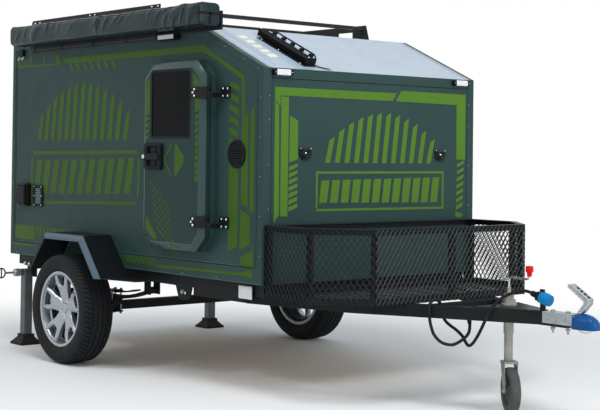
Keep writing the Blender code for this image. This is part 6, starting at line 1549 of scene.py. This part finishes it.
holder_back = plate(rounded(0.346, 0.092, 0.007, (0, PLATE_Z)), TAIL + 0.0003, TAIL + 0.0078, "rear", 0.0005)
piece("plate_holder", [holder_rim, holder_back], moulded_black)
plate_white = surface("plate_white", (214, 216, 216), 0.35, drift=0.04, drift_scale=8, grain=0.12)
piece("blank_plate", [blank], plate_white)
piece("drip_rail", [drip], body_green)
rims, ambers, reds = [], [], []
for side in (-1, 1):
    middle = side * 0.655
    rims.append(ring_plate(rounded(0.124, 0.084, 0.010, (-middle, TAIL_LAMP_Z)),
                           rounded(0.108, 0.068, 0.006, (-middle, TAIL_LAMP_Z)),
                           TAIL + 0.0003, TAIL + 0.040, "rear", 0.003))
    for column in np.linspace(-0.045, 0.045, 9):
        for row in np.linspace(-0.026, 0.026, 5):
            target = ambers if column * side < -0.020 else reds
            place = (-(TAIL + 0.0395), middle + column, TAIL_LAMP_Z + row)
            target.append(dome_head(place, 0.0048, 0.0022, (-1, 0, 0), 8))
piece("tail_lamp_rims", rims, moulded_black)
piece("tail_prisms_amber", ambers, amber_lens)
piece("tail_prisms_red", reds, red_lens)

# %% [markdown]
# ## Floor, light and background
# The trailer stands on a pale plain floor in soft studio light: a wide lamp above, a small one at the
# kerb side whose glint falls on the door's border, a broad one before the nose, and an even pale sky.
# Far from the trailer the floor fades into the white that the camera sees behind it, and near it the
# floor keeps the trailer's shadow. The sky is white for the camera, for reflections and through
# lenses, and it lights the trailer at its own lower strength.

# %% Floor and backdrop
FLOOR_REACH = 80


def seen_directly(nodes):
    """1 for a ray from the camera, off a shiny surface or through a lens, and 0 for one that only lights."""
    rays = nodes.add("ShaderNodeLightPath").outputs
    direct = nodes.math("MAXIMUM", rays["Is Camera Ray"], rays["Is Glossy Ray"])
    return nodes.math("MAXIMUM", direct, rays["Is Transmission Ray"])


floor_mesh = bpy.data.meshes.new("studio_floor")
corners = [(x, y, -0.0005) for x, y in rectangle(-FLOOR_REACH, FLOOR_REACH, -FLOOR_REACH, FLOOR_REACH)]
floor_mesh.from_pydata(corners, [], [(0, 1, 2, 3)])
floor = bpy.data.objects.new("studio_floor", floor_mesh)
bpy.context.scene.collection.objects.link(floor)

floor_paint = bpy.data.materials.new("studio_floor")
nodes = Nodes(floor_paint)
nodes.shader.inputs["Base Color"].default_value = (0.97, 0.98, 0.99, 1)
nodes.shader.inputs["Roughness"].default_value = 0.85
nodes.shader.inputs["Specular IOR Level"].default_value = 0.2
spot = nodes.add("ShaderNodeTexCoord").outputs["Object"]
distance = nodes.add("ShaderNodeVectorMath", {0: spot}, operation="LENGTH").outputs["Value"]
far = nodes.ramp(distance, 1.7, 4.6, interpolation_type="SMOOTHSTEP")
white = nodes.math("MULTIPLY", seen_directly(nodes), far)
glow = nodes.add("ShaderNodeEmission", {"Color": (1, 1, 1, 1), "Strength": 1.0}).outputs[0]
mix = nodes.add("ShaderNodeMixShader", {0: white, 1: nodes.shader.outputs[0], 2: glow}).outputs[0]
nodes.join(mix, nodes.tree.nodes["Material Output"].inputs["Surface"])
floor_mesh.materials.append(floor_paint)

world = bpy.data.worlds.new("studio_sky")
bpy.context.scene.world = world
sky = Nodes(world)
lighting = sky.add("ShaderNodeBackground", {"Color": (0.90, 0.95, 1.0, 1), "Strength": 0.52}).outputs[0]
backdrop = sky.add("ShaderNodeBackground", {"Color": (1, 1, 1, 1), "Strength": 1.0}).outputs[0]
choice = sky.add("ShaderNodeMixShader", {0: seen_directly(sky), 1: lighting, 2: backdrop}).outputs[0]
sky.join(choice, sky.tree.nodes["World Output"].inputs["Surface"])
print("nodes of the floor:", len(nodes.tree.nodes), " of the sky:", len(sky.tree.nodes))


# %% Lamps
def studio_lamp(name, place, aim, size, power, colour):
    """Soft square lamp at place, turned to face the aim."""
    lamp = bpy.data.lights.new(name, "AREA")
    lamp.shape = "SQUARE"
    lamp.size = size
    lamp.energy = power
    lamp.color = colour
    holder = bpy.data.objects.new(name, lamp)
    bpy.context.scene.collection.objects.link(holder)
    facing = (Vector(aim) - Vector(place)).to_track_quat("-Z", "Y").to_matrix().to_4x4()
    holder.matrix_world = Matrix.Translation(place) @ facing


studio_lamp("key_above", (3.4, -2.2, 6.8), (0, 0, 1.0), 2.4, 190, (1.0, 0.99, 0.98))
studio_lamp("glint_kerb", (-1.76, -5.66, 5.37), (0.12, -0.82, 1.63), 0.9, 70, (0.97, 0.99, 1.0))
studio_lamp("fill_nose", (7.5, 0.5, 3.4), (0.5, 0, 0.8), 3.5, 190, (0.97, 0.99, 1.0))
bpy.context.scene.view_settings.view_transform = "Standard"
